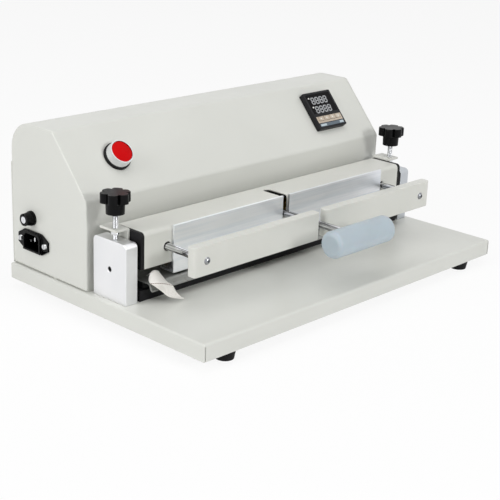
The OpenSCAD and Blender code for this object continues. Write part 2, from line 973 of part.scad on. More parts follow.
// Pillars
pillar_bolt_r = 3;
pillar_bolt_up = 12;

module at_pillar_bolts() {
    for (x = sides, y = sides)
        translate([x * spindle_x, spindle_y + y * pillar_d / 3, base_top])
            children();
}

module pillar() {
    y0 = spindle_y - pillar_d / 2;
    y1 = spindle_y + pillar_d / 2;
    difference() {
        along_x(pillar_in, pillar_out)
            arch_rect([y0, base_top], [y1, pillar_top], pillar_round);
        translate([spindle_x, spindle_y, pillar_top - spindle_depth - run_gap])
            cylinder(h = spindle_depth + over, r = spindle_r + bearing_gap);
        translate([0, spindle_y, base_top + set_screw_up])
            bar_x(spindle_x, pillar_out + over, set_screw_r + fit_gap);
        at_pillar_bolts()
            translate([0, 0, -over])
                cylinder(h = pillar_bolt_up + 2 * over, r = pillar_bolt_r + fit_gap);
    }
}

module left_pillar() {
    color([0.86, 0.87, 0.89])
        mirror([1, 0, 0])
            pillar();
}

module right_pillar() {
    color([0.86, 0.87, 0.89])
        pillar();
}

// Set screws whose tips run in a groove of the spindles
groove_r = spindle_r - 1;
groove_h = 4;
set_tip_r = groove_h / 2 - run_gap;
set_tip = 1;
set_hex_depth = 2;

module pillar_set_screws() {
    tip_x = spindle_x + groove_r + run_gap / 2;
    color([0.08, 0.08, 0.08])
        both_sides()
            translate([0, spindle_y, base_top + set_screw_up]) {
                bar_x(tip_x, tip_x + set_tip + over, set_tip_r);
                difference() {
                    bar_x(spindle_x + spindle_r + run_gap, pillar_out - over, set_screw_r);
                    translate([pillar_out - over - set_hex_depth, 0, 0])
                        rotate([0, 90, 0])
                            cylinder(h = set_hex_depth + over, r = set_screw_r / 2, $fn = 6);
                }
            }
}

module pillar_bolts() {
    color([0.4, 0.4, 0.42])
        at_pillar_bolts() {
            translate([0, 0, -sheet])
                cylinder(h = sheet + pillar_bolt_up, r = pillar_bolt_r);
            translate([0, 0, -sheet - pillar_bolt_r])
                cylinder(h = pillar_bolt_r, r = 2 * pillar_bolt_r, $fn = 6);
        }
}

// Spindles turn in the pillars, with the beam's nuts on them
spindle_in_knob = 14;

module spindle() {
    low = pillar_top - spindle_depth;
    groove_mid = base_top + set_screw_up;
    color([0.75, 0.75, 0.77])
        translate([spindle_x, spindle_y, 0])
            rotate_extrude()
                polygon([
                    [0, low], [spindle_r, low],
                    [spindle_r, groove_mid - groove_h / 2], [groove_r, groove_mid - groove_h / 2],
                    [groove_r, groove_mid + groove_h / 2], [spindle_r, groove_mid + groove_h / 2],
                    [spindle_r, knob_z + spindle_in_knob], [0, knob_z + spindle_in_knob]
                ]);
}

module left_spindle() {
    mirror([1, 0, 0])
        spindle();
}

module right_spindle() {
    spindle();
}

// Star knob: lobed head cut by a domed round, and a plain hub
knob_lobe_r = 5.2;
knob_core_r = knob_r - knob_lobe_r;
knob_edge_r = 1.4;
knob_hub_draft = 0.4;
knob_under_h = 0.8;
knob_turn = 22;

module star_knob() {
    head_z = knob_z + knob_hub_h;
    color([0.05, 0.05, 0.05])
        translate([spindle_x, spindle_y, 0])
            difference() {
                union() {
                    translate([0, 0, knob_z])
                        cylinder(h = knob_hub_h + over, r1 = knob_hub_r - knob_hub_draft, r2 = knob_hub_r);
                    intersection() {
                        translate([0, 0, head_z])
                            linear_extrude(knob_head_h) {
                                circle(knob_core_r);
                                for (i = [1 : knob_lobes])
                                    rotate(i * 360 / knob_lobes + knob_turn)
                                        translate([knob_core_r, 0])
                                            circle(knob_lobe_r);
                            }
                        translate([0, 0, head_z])
                            rotate_extrude() {
                                polygon([
                                    [0, 0], [knob_hub_r, 0], [knob_r, knob_under_h],
                                    [knob_r, knob_head_h - knob_edge_r],
                                    [knob_r - knob_edge_r, knob_head_h], [0, knob_head_h]
                                ]);
                                translate([knob_r - knob_edge_r, knob_head_h - knob_edge_r])
                                    circle(knob_edge_r);
                            }
                    }
                }
                translate([0, 0, knob_z - over])
                    cylinder(h = spindle_in_knob + over, r = spindle_r);
            }
}

module left_knob() {
    mirror([1, 0, 0])
        star_knob();
}

module right_knob() {
    star_knob();
}

// Lower jaw: flat face, rolled nose and a lip turned out again
jaw_end_gap = 2;
jaw_reach = 3;
jaw_x = beam_x - jaw_end_gap;
jaw_nose_y = beam_front - jaw_reach;
jaw_in_r = jaw_nose_r - jaw_t;
jaw_lip_y = jaw_nose_y - jaw_nose_r - jaw_in_r;

module quarter_ring(r_out, r_in, corner) {
    intersection() {
        difference() {
            circle(r_out);
            circle(r_in);
        }
        translate([min(corner.x, 0) * r_out, min(corner.y, 0) * r_out])
            square(r_out);
    }
}

module lower_jaw() {
    color([0.62, 0.63, 0.63])
        along_x(-jaw_x, jaw_x) {
            translate([jaw_nose_y, jaw_top - jaw_t])
                square([beam_back - jaw_nose_y, jaw_t]);
            translate([jaw_nose_y, jaw_top - jaw_nose_r])
                quarter_ring(jaw_nose_r, jaw_in_r, [-1, 1]);
            translate([jaw_lip_y, jaw_top - jaw_nose_r])
                quarter_ring(jaw_nose_r, jaw_in_r, [1, -1]);
        }
}

strip_end = 35;
strip_w = 24;
strip_set_back = 2;
block_set_back = 4;
block_front = beam_front + block_set_back;
block_back = beam_back - block_set_back / 2;
slab_set_back = 11;
slab_front = jaw_lip_y + slab_set_back;
slab_top = jaw_top - 2 * jaw_nose_r - run_gap;

// One slab of insulating board on the base, with three blocks that carry jaw and heater
module jaw_insulators() {
    color([0.1, 0.09, 0.08]) {
        block([-bracket_in, slab_front, base_top], [bracket_in, block_back, slab_top]);
        for (spot = [-1, 0, 1]) {
            mid = spot * (jaw_x - block_w / 2);
            top = spot == 0 ? jaw_top - jaw_t - strip_t : jaw_top - jaw_t;
            block([mid - block_w / 2, block_front, base_top], [mid + block_w / 2, block_back, top]);
        }
    }
}

module lower_heater() {
    color([0.55, 0.5, 0.42])
        block([strip_end - jaw_x, jaw_nose_y + strip_set_back, jaw_top - jaw_t - strip_t],
            [jaw_x - strip_end, jaw_nose_y + strip_set_back + strip_w, jaw_top - jaw_t]);
}

// Tail of the heat cloth, folded once along its length: sections from the jaw down to the tip.
// Each section gives y, the left edge, the fold's crest and the right edge as [x, z],
// with y counted from the nose, x from the jaw's left end and z from the jaw's face,
// all as shares of the tail's length.
cloth_l = 33;
cloth_t = 1.2;
cloth_floor_gap = 0.3;
cloth_run = [
    [0.35, [0.24, 0.06], [0.42, 0.26], [0.79, 0.08]],
    [0.08, [0.24, 0.06], [0.45, 0.27], [0.82, 0.08]],
    [-0.14, [0.30, 0.05], [0.55, 0.17], [0.91, 0.06]],
    [-0.29, [0.45, -0.18], [0.70, -0.06], [0.94, -0.12]],
    [-0.44, [0.61, -0.39], [0.82, -0.29], [1.00, -0.35]],
    [-0.65, [0.89, -0.52], [0.94, -0.51], [1.00, -0.52]]
];

function cloth_point(section, p, drop) = [
    cloth_l * p[0] - jaw_x,
    jaw_nose_y + cloth_l * section[0],
    max(jaw_top + cloth_l * p[1], base_top + cloth_t + cloth_floor_gap) - drop
];

function cloth_ring(s) = [
    for (i = [1 : 3]) cloth_point(s, s[i], 0),
    for (i = [3 : -1 : 1]) cloth_point(s, s[i], cloth_t)
];

module heat_cloth() {
    n = 6;
    last = len(cloth_run) - 1;
    points = [for (s = cloth_run) each cloth_ring(s)];
    walls = [
        for (r = [0 : last - 1], i = [0 : n - 1]) each [
            [r * n + i, r * n + n + i, r * n + n + (i + 1) % n],
            [r * n + i, r * n + n + (i + 1) % n, r * n + (i + 1) % n]
        ]
    ];
    near = [[0, 1, 4], [0, 4, 5], [1, 2, 3], [1, 3, 4]];
    far = [for (t = near) [t[2] + last * n, t[1] + last * n, t[0] + last * n]];
    color([0.93, 0.91, 0.88])
        polyhedron(points, concat(walls, near, far));
}

// Beam cover: inverted channel, slotted for the lever and bored for the guard rods
rod_hole_gap = 1;

module beam_cover() {
    color([0.87, 0.86, 0.83])
        difference() {
            along_x(-beam_x, beam_x)
                difference() {
                    arch_rect([beam_front, beam_z], [beam_back, beam_top], beam_edge_r);
                    arch_rect([beam_front + sheet, beam_z - over], [beam_back - sheet, beam_top - sheet],
                        beam_edge_r - sheet);
                }
            block([-slot_x, beam_front - over, shaft_z], [slot_x, shaft_y, beam_top + over]);
            translate([0, 0, shaft_z])
                bar_y(beam_front - over, beam_front + 2 * sheet, slot_x);
            translate([0, shaft_y, shaft_z])
                cylinder(h = beam_h, r = slot_x);
            both_sides()
                translate([rod_x, 0, shaft_z])
                    bar_y(beam_front - over, beam_front + 2 * sheet, guard_rod_r + rod_hole_gap);
        }
}

// End plates, screwed to the ends of the inner bar
end_screw_r = 2;
end_screw_len = 14;
end_screw_y = bar_front + bar_t / 2;
end_screw_low = 8;
end_screw_high = 9;

module at_end_screws() {
    for (z = [beam_z + end_screw_low, beam_top - end_screw_high])
        translate([0, end_screw_y, z])
            children();
}

module end_screw_holes() {
    at_end_screws()
        bar_x(beam_x - end_screw_len - over, pillar_in, end_screw_r + fit_gap);
}

module end_plate() {
    color([0.07, 0.07, 0.07])
        difference() {
            along_x(beam_x, bracket_in)
                arch_rect([beam_front, beam_z], [beam_back, beam_top], beam_edge_r);
            end_screw_holes();
        }
}

module left_end_plate() {
    mirror([1, 0, 0])
        end_plate();
}

module right_end_plate() {
    end_plate();
}

module end_plate_screws() {
    color([0.72, 0.66, 0.45])
        both_sides()
            at_end_screws()
                bar_x(beam_x - end_screw_len, bracket_in, end_screw_r);
}

// Bracket: flange over the pillar, bent down along the end plate
flange_trim = 6.5;
bracket_shift = 4;
flange_end = spindle_x + bracket_w / 2 - flange_trim;

module bracket() {
    y0 = spindle_y - bracket_w / 2 + bracket_shift;
    y1 = spindle_y + bracket_w / 2 + bracket_shift;
    color([0.88, 0.87, 0.84])
        difference() {
            along_y(y0, y1) {
                translate([bracket_in + bend_r, flange_top - bracket_t])
                    square([flange_end - bracket_in - bend_r, bracket_t]);
                translate([bracket_in, flange_top - bracket_drop])
                    square([bracket_t, bracket_drop - bend_r]);
                translate([bracket_in + bend_r, flange_top - bend_r])
                    intersection() {
                        circle(bend_r);
                        translate([-bend_r, 0])
                            square(bend_r);
                    }
                translate([bracket_in + bend_r - over / 2, flange_top - bracket_t])
                    square([over, bracket_t]);
            }
            translate([spindle_x, spindle_y, flange_top - bracket_t - over])
                cylinder(h = bracket_t + 2 * over, r = spindle_r + bearing_gap);
        }
}

module left_bracket() {
    mirror([1, 0, 0])
        bracket();
}

module right_bracket() {
    bracket();
}

module bracket_nuts() {
    color([0.72, 0.72, 0.74])
        both_sides()
            translate([spindle_x, spindle_y, flange_top - bracket_t - nut_h])
                difference() {
                    cylinder(h = nut_h, r = nut_r);
                    translate([0, 0, -over])
                        cylinder(h = nut_h + 2 * over, r = spindle_r + bearing_gap, $fn = 48);
                }
}

// Stiff bar along the back of the beam
rod_spigot_r = guard_rod_r - 1;
rod_spigot = 6;

module beam_bar() {
    color([0.45, 0.45, 0.47])
        difference() {
            block([-beam_x, bar_front, beam_z + over], [beam_x, bar_front + bar_t, beam_top - beam_edge_r]);
            both_sides()
                end_screw_holes();
            both_sides()
                translate([rod_x, 0, shaft_z])
                    bar_y(bar_front - over, bar_front + rod_spigot + fit_gap, rod_spigot_r + fit_gap);
        }
}

bearing_wall = 4;

module shaft_bearings() {
    half = shaft_r + bearing_wall;
    color([0.72, 0.6, 0.32])
        both_sides()
            difference() {
                block([bearing_x, shaft_y - half, shaft_z - half],
                    [bearing_x + bearing_len, bar_front, shaft_z + half]);
                translate([0, shaft_y, shaft_z])
                    bar_x(bearing_x - over, bearing_x + bearing_len + over, shaft_r + bearing_gap);
            }
}

guide_block_z = press_bar_top + guide_foot_h + press_lift + run_gap;

module guide_blocks() {
    color([0.6, 0.6, 0.62])
        both_sides()
            difference() {
                block([guide_x - guide_w / 2, press_bar_front, guide_block_z],
                    [guide_x + guide_w / 2, bar_front, beam_top - beam_edge_r]);
                translate([guide_x, press_bar_y, guide_block_z - over])
                    cylinder(h = beam_h, r = guide_pin_r + bearing_gap);
            }
}

// Guard: a bar on each side of the lever, each on one rod
guard_back = beam_front - guard_reach;
guard_front = guard_back - guard_t;
guard_screw_r = 2;

module guard_bar() {
    x0 = slot_x;
    x1 = rod_x + guard_overhang;
    color([0.87, 0.87, 0.84])
        difference() {
            intersection() {
                translate([(x0 + x1) / 2, (guard_front + guard_back) / 2, base_top + guard_up])
                    linear_extrude(guard_h)
                        round_rect(x1 - x0, guard_t, guard_round);
                translate([(x0 + x1) / 2, guard_back + over, base_top + guard_up + guard_h / 2])
                    rotate([90, 0, 0])
                        linear_extrude(guard_t + 2 * over)
                            round_rect(x1 - x0, guard_h, guard_round / 3);
            }
            translate([rod_x, 0, shaft_z])
                bar_y(guard_front - over, guard_back + over, guard_screw_r + fit_gap);
        }
}

module left_guard_bar() {
    mirror([1, 0, 0])
        guard_bar();
}

module right_guard_bar() {
    guard_bar();
}

guard_screw_depth = 15;

module guard_rods() {
    color([0.82, 0.83, 0.85])
        both_sides()
            translate([rod_x, 0, shaft_z])
                difference() {
                    union() {
                        bar_y(guard_back, bar_front, guard_rod_r);
                        bar_y(bar_front - over, bar_front + rod_spigot, rod_spigot_r);
                    }
                    bar_y(guard_back - over, guard_back + guard_screw_depth + fit_gap,
                        guard_screw_r + fit_gap);
                }
}

module guard_screws() {
    color([0.75, 0.75, 0.77])
        both_sides()
            translate([rod_x, guard_front, shaft_z])
                rotate([90, 0, 0])
                    button_screw(guard_screw_r, guard_t + guard_screw_depth);
}

// Shoes: an upright plate in front of the beam and a foot under it
module shoe() {
    color([0.8, 0.83, 0.87])
        along_x(slot_x, shoe_x) {
            translate([shoe_front, shoe_z])
                square([shoe_t, shoe_h]);
            translate([shoe_front, shoe_z])
                square([shoe_foot, shoe_t]);
        }
}

module left_shoe() {
    mirror([1, 0, 0])
        shoe();
}

module right_shoe() {
    shoe();
}

// Press bar on the shoes' feet, with a yoke for each crank pin
module press_bar() {
    yoke_top = pin_z + crank_pin_r + run_gap + yoke_wall;
    color([0.5, 0.5, 0.52])
        difference() {
            union() {
                block([-shoe_x, press_bar_front, press_bar_z],
                    [shoe_x, press_bar_front + press_bar_d, press_bar_top]);
                both_sides()
                    block([yoke_x, press_bar_front, press_bar_top - over],
                        [yoke_x + yoke_w, pin_y + crank_pin_r + run_gap + yoke_wall, yoke_top]);
            }
            both_sides() {
                block([yoke_x - over, shaft_y - crank_throw - crank_pin_r - run_gap,
                        pin_z - crank_pin_r - run_gap],
                    [yoke_x + yoke_w + over, pin_y + crank_pin_r + run_gap,
                        pin_z + crank_pin_r + run_gap]);
                translate([0, press_bar_y, press_bar_z + press_bar_h / 2])
                    bar_x(shoe_x - heater_len - run_gap, shoe_x + over, heater_r + fit_gap);
            }
        }
}

module heater_rods() {
    color([0.7, 0.68, 0.62])
        both_sides()
            translate([0, press_bar_y, press_bar_z + press_bar_h / 2])
                bar_x(shoe_x - heater_len, shoe_x, heater_r);
}

module guide_pins() {
    pin_top = beam_top - sheet - press_lift - run_gap;
    color([0.78, 0.78, 0.8])
        both_sides()
            translate([guide_x, press_bar_y, press_bar_top]) {
                cylinder(h = guide_foot_h, r = guide_pin_r + guide_foot_rim);
                cylinder(h = pin_top - press_bar_top, r = guide_pin_r);
            }
}

// Lever: shaft with hub and a crank at each end, rod and grip
rod_in_hub = 6;

module crank_shaft() {
    color([0.6, 0.6, 0.62])
        difference() {
            union() {
                translate([0, shaft_y, shaft_z]) {
                    bar_x(-hub_w / 2, hub_w / 2, hub_r);
                    bar_x(-disc_x - over, disc_x + over, shaft_r);
                }
                both_sides() {
                    translate([0, shaft_y - disc_off, shaft_z - disc_off])
                        bar_x(disc_x, disc_x + crank_t, disc_r);
                    translate([0, pin_y, pin_z])
                        bar_x(disc_x + crank_t - over, yoke_x + yoke_w + over, crank_pin_r);
                }
            }
            translate([0, 0, shaft_z])
                bar_y(shaft_y - hub_r - over, shaft_y - hub_r + rod_in_hub, rod_r + fit_gap);
        }
}

module lever_rod() {
    color([0.82, 0.83, 0.85])
        translate([0, 0, shaft_z])
            bar_y(shaft_y - lever_len, shaft_y - hub_r + rod_in_hub, rod_r);
}

module lever_grip() {
    color([0.7, 0.77, 0.8])
        difference() {
            translate([-grip_len / 2, shaft_y - lever_len, shaft_z])
                rotate([0, 90, 0])
                    rotate_extrude() {
                        translate([0, grip_round])
                            square([grip_r, grip_len - 2 * grip_round]);
                        square([grip_r - grip_round, grip_len]);
                        for (end = [grip_round, grip_len - grip_round])
                            translate([grip_r - grip_round, end])
                                circle(grip_round);
                    }
            translate([0, 0, shaft_z])
                bar_y(shaft_y - lever_len - fit_gap, shaft_y - lever_len + grip_r + over, rod_r + fit_gap);
        }
}

base_pan();
rubber_feet();
foot_screws();
housing_cover();
left_side_panel();
right_side_panel();
rear_panel();
rear_panel_screws();
button_gasket();
button_bezel();
button_nut();
button_contact_block();
button_cap();
controller_case();
controller_window();
controller_clamp();
key_1();
key_2();
key_3();
key_4();
fuse_holder();
fuse_cap();
inlet_socket();
inlet_pins();
inlet_screws();
left_pillar();
right_pillar();
pillar_set_screws();
pillar_bolts();
left_spindle();
right_spindle();
left_knob();
right_knob();
lower_jaw();
jaw_insulators();
lower_heater();
heat_cloth();
beam_cover();
left_end_plate();
right_end_plate();
end_plate_screws();
left_bracket();
right_bracket();
bracket_nuts();
beam_bar();
shaft_bearings();
guide_blocks();
left_guard_bar();
right_guard_bar();
guard_rods();
guard_screws();
left_shoe();
right_shoe();
press_bar();
heater_rods();
guide_pins();
crank_shaft();
lever_rod();
lever_grip();
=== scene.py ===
import json
import math

import bpy
from mathutils import Matrix, Vector


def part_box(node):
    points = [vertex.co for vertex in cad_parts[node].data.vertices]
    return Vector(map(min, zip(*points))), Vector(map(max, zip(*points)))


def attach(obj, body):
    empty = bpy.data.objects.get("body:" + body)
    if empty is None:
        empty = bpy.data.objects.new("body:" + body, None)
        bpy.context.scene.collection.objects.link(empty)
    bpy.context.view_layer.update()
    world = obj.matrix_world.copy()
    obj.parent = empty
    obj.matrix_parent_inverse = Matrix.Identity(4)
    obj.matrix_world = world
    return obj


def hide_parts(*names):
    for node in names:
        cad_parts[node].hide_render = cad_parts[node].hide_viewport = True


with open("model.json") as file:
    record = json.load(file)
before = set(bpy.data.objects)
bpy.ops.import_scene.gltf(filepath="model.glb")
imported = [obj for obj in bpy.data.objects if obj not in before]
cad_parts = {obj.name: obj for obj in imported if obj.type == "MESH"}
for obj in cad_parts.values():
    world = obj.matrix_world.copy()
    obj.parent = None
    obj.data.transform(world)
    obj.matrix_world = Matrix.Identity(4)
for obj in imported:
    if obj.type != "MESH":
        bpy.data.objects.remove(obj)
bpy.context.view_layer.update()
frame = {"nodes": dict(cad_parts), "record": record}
bpy.ops.object.select_all(action="DESELECT")
record = frame["record"]
slotOf = {part["node"]: part["material_slot"] for part in record["subparts"]}
bodyOf = {node: body for body, nodes in record["behaviour"]["bodies"].items() for node in nodes}
mm = 0.001  # a millimetre in metres
print("frame loaded:", len(frame["nodes"]), "nodes")

# camera: turns in degrees, place in metres, lens in pixels of the square frame, sensor in millimetres
cameraView = {
    "yaw": 46.841, "pitch": 19.111, "roll": 2.168,
    "place": (-0.93890, -0.86307, 0.46956),
    "lensPixels": 1217.91, "framePixels": 500, "sensor": 36.0,
}


def setCamera(view):
    data = bpy.data.cameras.new("camera")
    data.sensor_width = view["sensor"]
    data.lens = view["lensPixels"] * view["sensor"] / view["framePixels"]
    camera = bpy.data.objects.new("camera", data)
    bpy.context.scene.collection.objects.link(camera)
    aim = Matrix.Rotation(math.radians(-view["yaw"]), 4, "Z")
    tip = Matrix.Rotation(math.radians(90 - view["pitch"]), 4, "X")
    roll = Matrix.Rotation(math.radians(view["roll"]), 4, "Z")
    camera.matrix_world = Matrix.Translation(view["place"]) @ aim @ tip @ roll
    bpy.context.scene.camera = camera


setCamera(cameraView)
bpy.context.scene.view_settings.view_transform = "Standard"
print("camera set")


def paint(red, green, blue):
    # a colour as a screen shows it, made linear
    return tuple((c / 255 / 12.92) if c < 11 else ((c / 255 + 0.055) / 1.055) ** 2.4
                 for c in (red, green, blue)) + (1.0,)


def addNode(tree, kind, values=None, **settings):
    node = tree.nodes.new(kind)
    for name, value in settings.items():
        setattr(node, name, value)
    for socket, value in (values or {}).items():
        node.inputs[socket].default_value = value
    return node


def startGroup(name, inputs, outputs):
    group = bpy.data.node_groups.new(name, "ShaderNodeTree")
    for socket, value in inputs.items():
        kind = "NodeSocketVector" if isinstance(value, tuple) else "NodeSocketFloat"
        item = group.interface.new_socket(socket, in_out="INPUT", socket_type=kind)
        item.default_value = value
    for socket in outputs:
        group.interface.new_socket(socket, in_out="OUTPUT", socket_type="NodeSocketFloat")
    return group, addNode(group, "NodeGroupInput"), addNode(group, "NodeGroupOutput")


def makeGrain():
    # pebbled skin of a coat or a moulding: fine bumps, slow clouds, uneven gloss
    group, given, made = startGroup("skinGrain", {"Bumps": 900.0, "Clouds": 9.0},
                                    ("Height", "Cloud", "Gloss"))
    place = addNode(group, "ShaderNodeTexCoord")
    bumps = addNode(group, "ShaderNodeTexNoise", {"Detail": 2.0, "Roughness": 0.45})
    clouds = addNode(group, "ShaderNodeTexNoise", {"Detail": 3.0, "Roughness": 0.55, "Distortion": 0.6})
    gloss = addNode(group, "ShaderNodeTexNoise", {"Scale": 70.0, "Detail": 4.0, "Roughness": 0.6})
    for noise in (bumps, clouds, gloss):
        group.links.new(place.outputs["Object"], noise.inputs["Vector"])
    group.links.new(given.outputs["Bumps"], bumps.inputs["Scale"])
    group.links.new(given.outputs["Clouds"], clouds.inputs["Scale"])
    group.links.new(bumps.outputs["Fac"], made.inputs["Height"])
    group.links.new(clouds.outputs["Fac"], made.inputs["Cloud"])
    group.links.new(gloss.outputs["Fac"], made.inputs["Gloss"])
    return group


def makeBrush():
    # lines left by a brush or a lathe, long along the axis with the small number
    group, given, made = startGroup("brushLines", {"Stretch": (0.02, 1.0, 1.0), "Lines": 1600.0},
                                    ("Line", "Cloud"))
    place = addNode(group, "ShaderNodeTexCoord")
    stretch = addNode(group, "ShaderNodeVectorMath", operation="MULTIPLY")
    lines = addNode(group, "ShaderNodeTexNoise", {"Detail": 3.0, "Roughness": 0.6})
    clouds = addNode(group, "ShaderNodeTexNoise", {"Scale": 22.0, "Detail": 3.0})
    group.links.new(place.outputs["Object"], stretch.inputs[0])
    group.links.new(given.outputs["Stretch"], stretch.inputs[1])
    group.links.new(stretch.outputs[0], lines.inputs["Vector"])
    group.links.new(given.outputs["Lines"], lines.inputs["Scale"])
    group.links.new(place.outputs["Object"], clouds.inputs["Vector"])
    group.links.new(lines.outputs["Fac"], made.inputs["Line"])
    group.links.new(clouds.outputs["Fac"], made.inputs["Cloud"])
    return group


scuffFade = 0.12  # how far above the clean level a scuff is at its full strength


def makeScuffs():
    # sparse rubbed spots and short scratches, 0 where the surface is clean
    group, given, made = startGroup("scuffs", {"Size": 45.0, "Clean": 0.62}, ("Mask",))
    place = addNode(group, "ShaderNodeTexCoord")
    spots = addNode(group, "ShaderNodeTexNoise", {"Detail": 6.0, "Roughness": 0.7, "Distortion": 1.5})
    full = addNode(group, "ShaderNodeMath", {1: scuffFade}, operation="ADD")
    mask = addNode(group, "ShaderNodeMapRange")
    group.links.new(place.outputs["Object"], spots.inputs["Vector"])
    group.links.new(given.outputs["Size"], spots.inputs["Scale"])
    group.links.new(given.outputs["Clean"], full.inputs[0])
    group.links.new(given.outputs["Clean"], mask.inputs["From Min"])
    group.links.new(full.outputs[0], mask.inputs["From Max"])
    group.links.new(spots.outputs["Fac"], mask.inputs["Value"])
    group.links.new(mask.outputs["Result"], made.inputs["Mask"])
    return group


skinGrain = makeGrain()
brushLines = makeBrush()
scuffs = makeScuffs()
print("shared surface effects made")


def startMaterial(name, constants):
    material = bpy.data.materials.new(name)
    material.use_nodes = True
    shader = material.node_tree.nodes["Principled BSDF"]
    for socket, value in constants.items():
        shader.inputs[socket].default_value = value
    return material, material.node_tree, shader


def useGroup(tree, group, **values):
    return addNode(tree, "ShaderNodeGroup", values, node_tree=group)


def mixColours(tree, factor, first, second):
    mix = addNode(tree, "ShaderNodeMix", data_type="RGBA")
    tree.links.new(factor, mix.inputs["Factor"])
    for socket, colour in (("A", first), ("B", second)):
        target = next(s for s in mix.inputs if s.name == socket and s.type == "RGBA")
        if isinstance(colour, tuple):
            target.default_value = colour
        else:
            tree.links.new(colour, target)
    return next(s for s in mix.outputs if s.type == "RGBA")


noiseMiddle = (0.3, 0.7)  # where most values of a noise lie


def spread(tree, value, low, high):
    # takes the middle of a noise to a range
    node = addNode(tree, "ShaderNodeMapRange", {"From Min": noiseMiddle[0], "From Max": noiseMiddle[1],
                                                "To Min": low, "To Max": high})
    tree.links.new(value, node.inputs["Value"])
    return node.outputs["Result"]


def clouded(tree, cloud, look):
    return mixColours(tree, spread(tree, cloud, 0, 1), look["colour"], look["shade"])


def setWorn(tree, shader, plain, look):
    # the plain colour with scuffs on it
    marks = useGroup(tree, scuffs, Size=look["scuffSize"], Clean=look["clean"])
    worn = mixColours(tree, marks.outputs["Mask"], plain, look.get("worn", look["shade"]))
    tree.links.new(worn, shader.inputs["Base Color"])


def setGloss(tree, shader, noise, look):
    smoother, rougher = look["glossSpread"]
    rough = spread(tree, noise, look["rough"] - smoother, look["rough"] + rougher)
    tree.links.new(rough, shader.inputs["Roughness"])


def bump(tree, shader, height, depth):
    node = addNode(tree, "ShaderNodeBump", {"Strength": 1.0, "Distance": depth})
    tree.links.new(height, node.inputs["Height"])
    tree.links.new(node.outputs["Normal"], shader.inputs["Normal"])


# the coats: a warm pale grey, nearly the same on the sheet metal and on beam and guards
coatBase = {"coatRough": 0.22, "wornCoat": 0.3, "scuffSize": 30.0, "clean": 0.64,
            "glossSpread": (0.05, 0.07), "depth": 0.00003}
coats = {
    "grey_coat": {"colour": paint(219, 220, 214), "shade": paint(214, 215, 209),
                  "rough": 0.40, "coat": 0.25, "bumps": 750.0, "clouds": 7.0},
    "white_coat": {"colour": paint(219, 219, 213), "shade": paint(213, 214, 207),
                   "rough": 0.42, "coat": 0.2, "bumps": 850.0, "clouds": 12.0},
}


def coatMaterial(name, look):
    material, tree, shader = startMaterial(name, {"Coat Roughness": look["coatRough"]})
    grain = useGroup(tree, skinGrain, Bumps=look["bumps"], Clouds=look["clouds"])
    marks = useGroup(tree, scuffs, Size=look["scuffSize"], Clean=look["clean"])
    tree.links.new(clouded(tree, grain.outputs["Cloud"], look), shader.inputs["Base Color"])
    setGloss(tree, shader, grain.outputs["Gloss"], look)
    weight = addNode(tree, "ShaderNodeMapRange",
                     {"To Min": look["coat"], "To Max": look["wornCoat"] * look["coat"]})
    tree.links.new(marks.outputs["Mask"], weight.inputs["Value"])
    tree.links.new(weight.outputs["Result"], shader.inputs["Coat Weight"])
    bump(tree, shader, grain.outputs["Height"], look["depth"])
    return material


metalBase = {"metal": 1.0, "scuffSize": 60.0, "clean": 0.66}
brushedAlloy = {"rough": 0.42, "glossSpread": (0.07, 0.07), "stretch": (0.03, 1.0, 1.0), "lines": 1500.0,
                "depth": 0.000015}
metals = {
    "aluminium": {**brushedAlloy, "colour": paint(238, 238, 239), "shade": paint(230, 231, 233)},
    # its near-black streaks are painted reflection, the dark stripes a polished rod mirrors along its
    # sides
    "bright_steel": {"colour": paint(236, 237, 239), "shade": paint(222, 223, 226),
                     "rough": 0.1, "glossSpread": (0.04, 0.04),
                     "stretch": (1.0, 0.02, 1.0), "lines": 2200.0, "depth": 0.000006,
                     "streakAndPaintedReflection": paint(40, 39, 38), "streakLines": 560.0, "streakShare": (-0.6, 1.6)},
    "steel": {"colour": paint(228, 229, 230), "shade": paint(210, 211, 213),
              "rough": 0.24, "glossSpread": (0.08, 0.08),
              "stretch": (1.0, 1.0, 0.1), "lines": 1800.0, "depth": 0.00001},
    "black_screw": {"colour": paint(28, 28, 30), "shade": paint(18, 18, 20), "metal": 0.7,
                    "rough": 0.42, "glossSpread": (0.08, 0.08),
                    "stretch": (1.0, 1.0, 1.0), "lines": 2500.0, "depth": 0.00001},
    "brass": {"colour": paint(206, 176, 104), "shade": paint(184, 150, 82),
              "rough": 0.27, "glossSpread": (0.08, 0.08),
              "stretch": (1.0, 1.0, 0.2), "lines": 1900.0, "depth": 0.00001},
    "jaw_steel": {"colour": paint(162, 163, 160), "shade": paint(140, 141, 138), "metal": 0.6,
                  "worn": paint(126, 120, 112), "clean": 0.56,
                  "rough": 0.46, "glossSpread": (0.1, 0.1),
                  "stretch": (0.03, 1.0, 1.0), "lines": 1200.0, "depth": 0.00002},
    "heater": {"colour": paint(150, 140, 124), "shade": paint(122, 110, 96),
               "worn": paint(86, 74, 92), "clean": 0.55,
               "rough": 0.45, "glossSpread": (0.1, 0.1),
               "stretch": (0.1, 1.0, 1.0), "lines": 900.0, "depth": 0.00002},
}
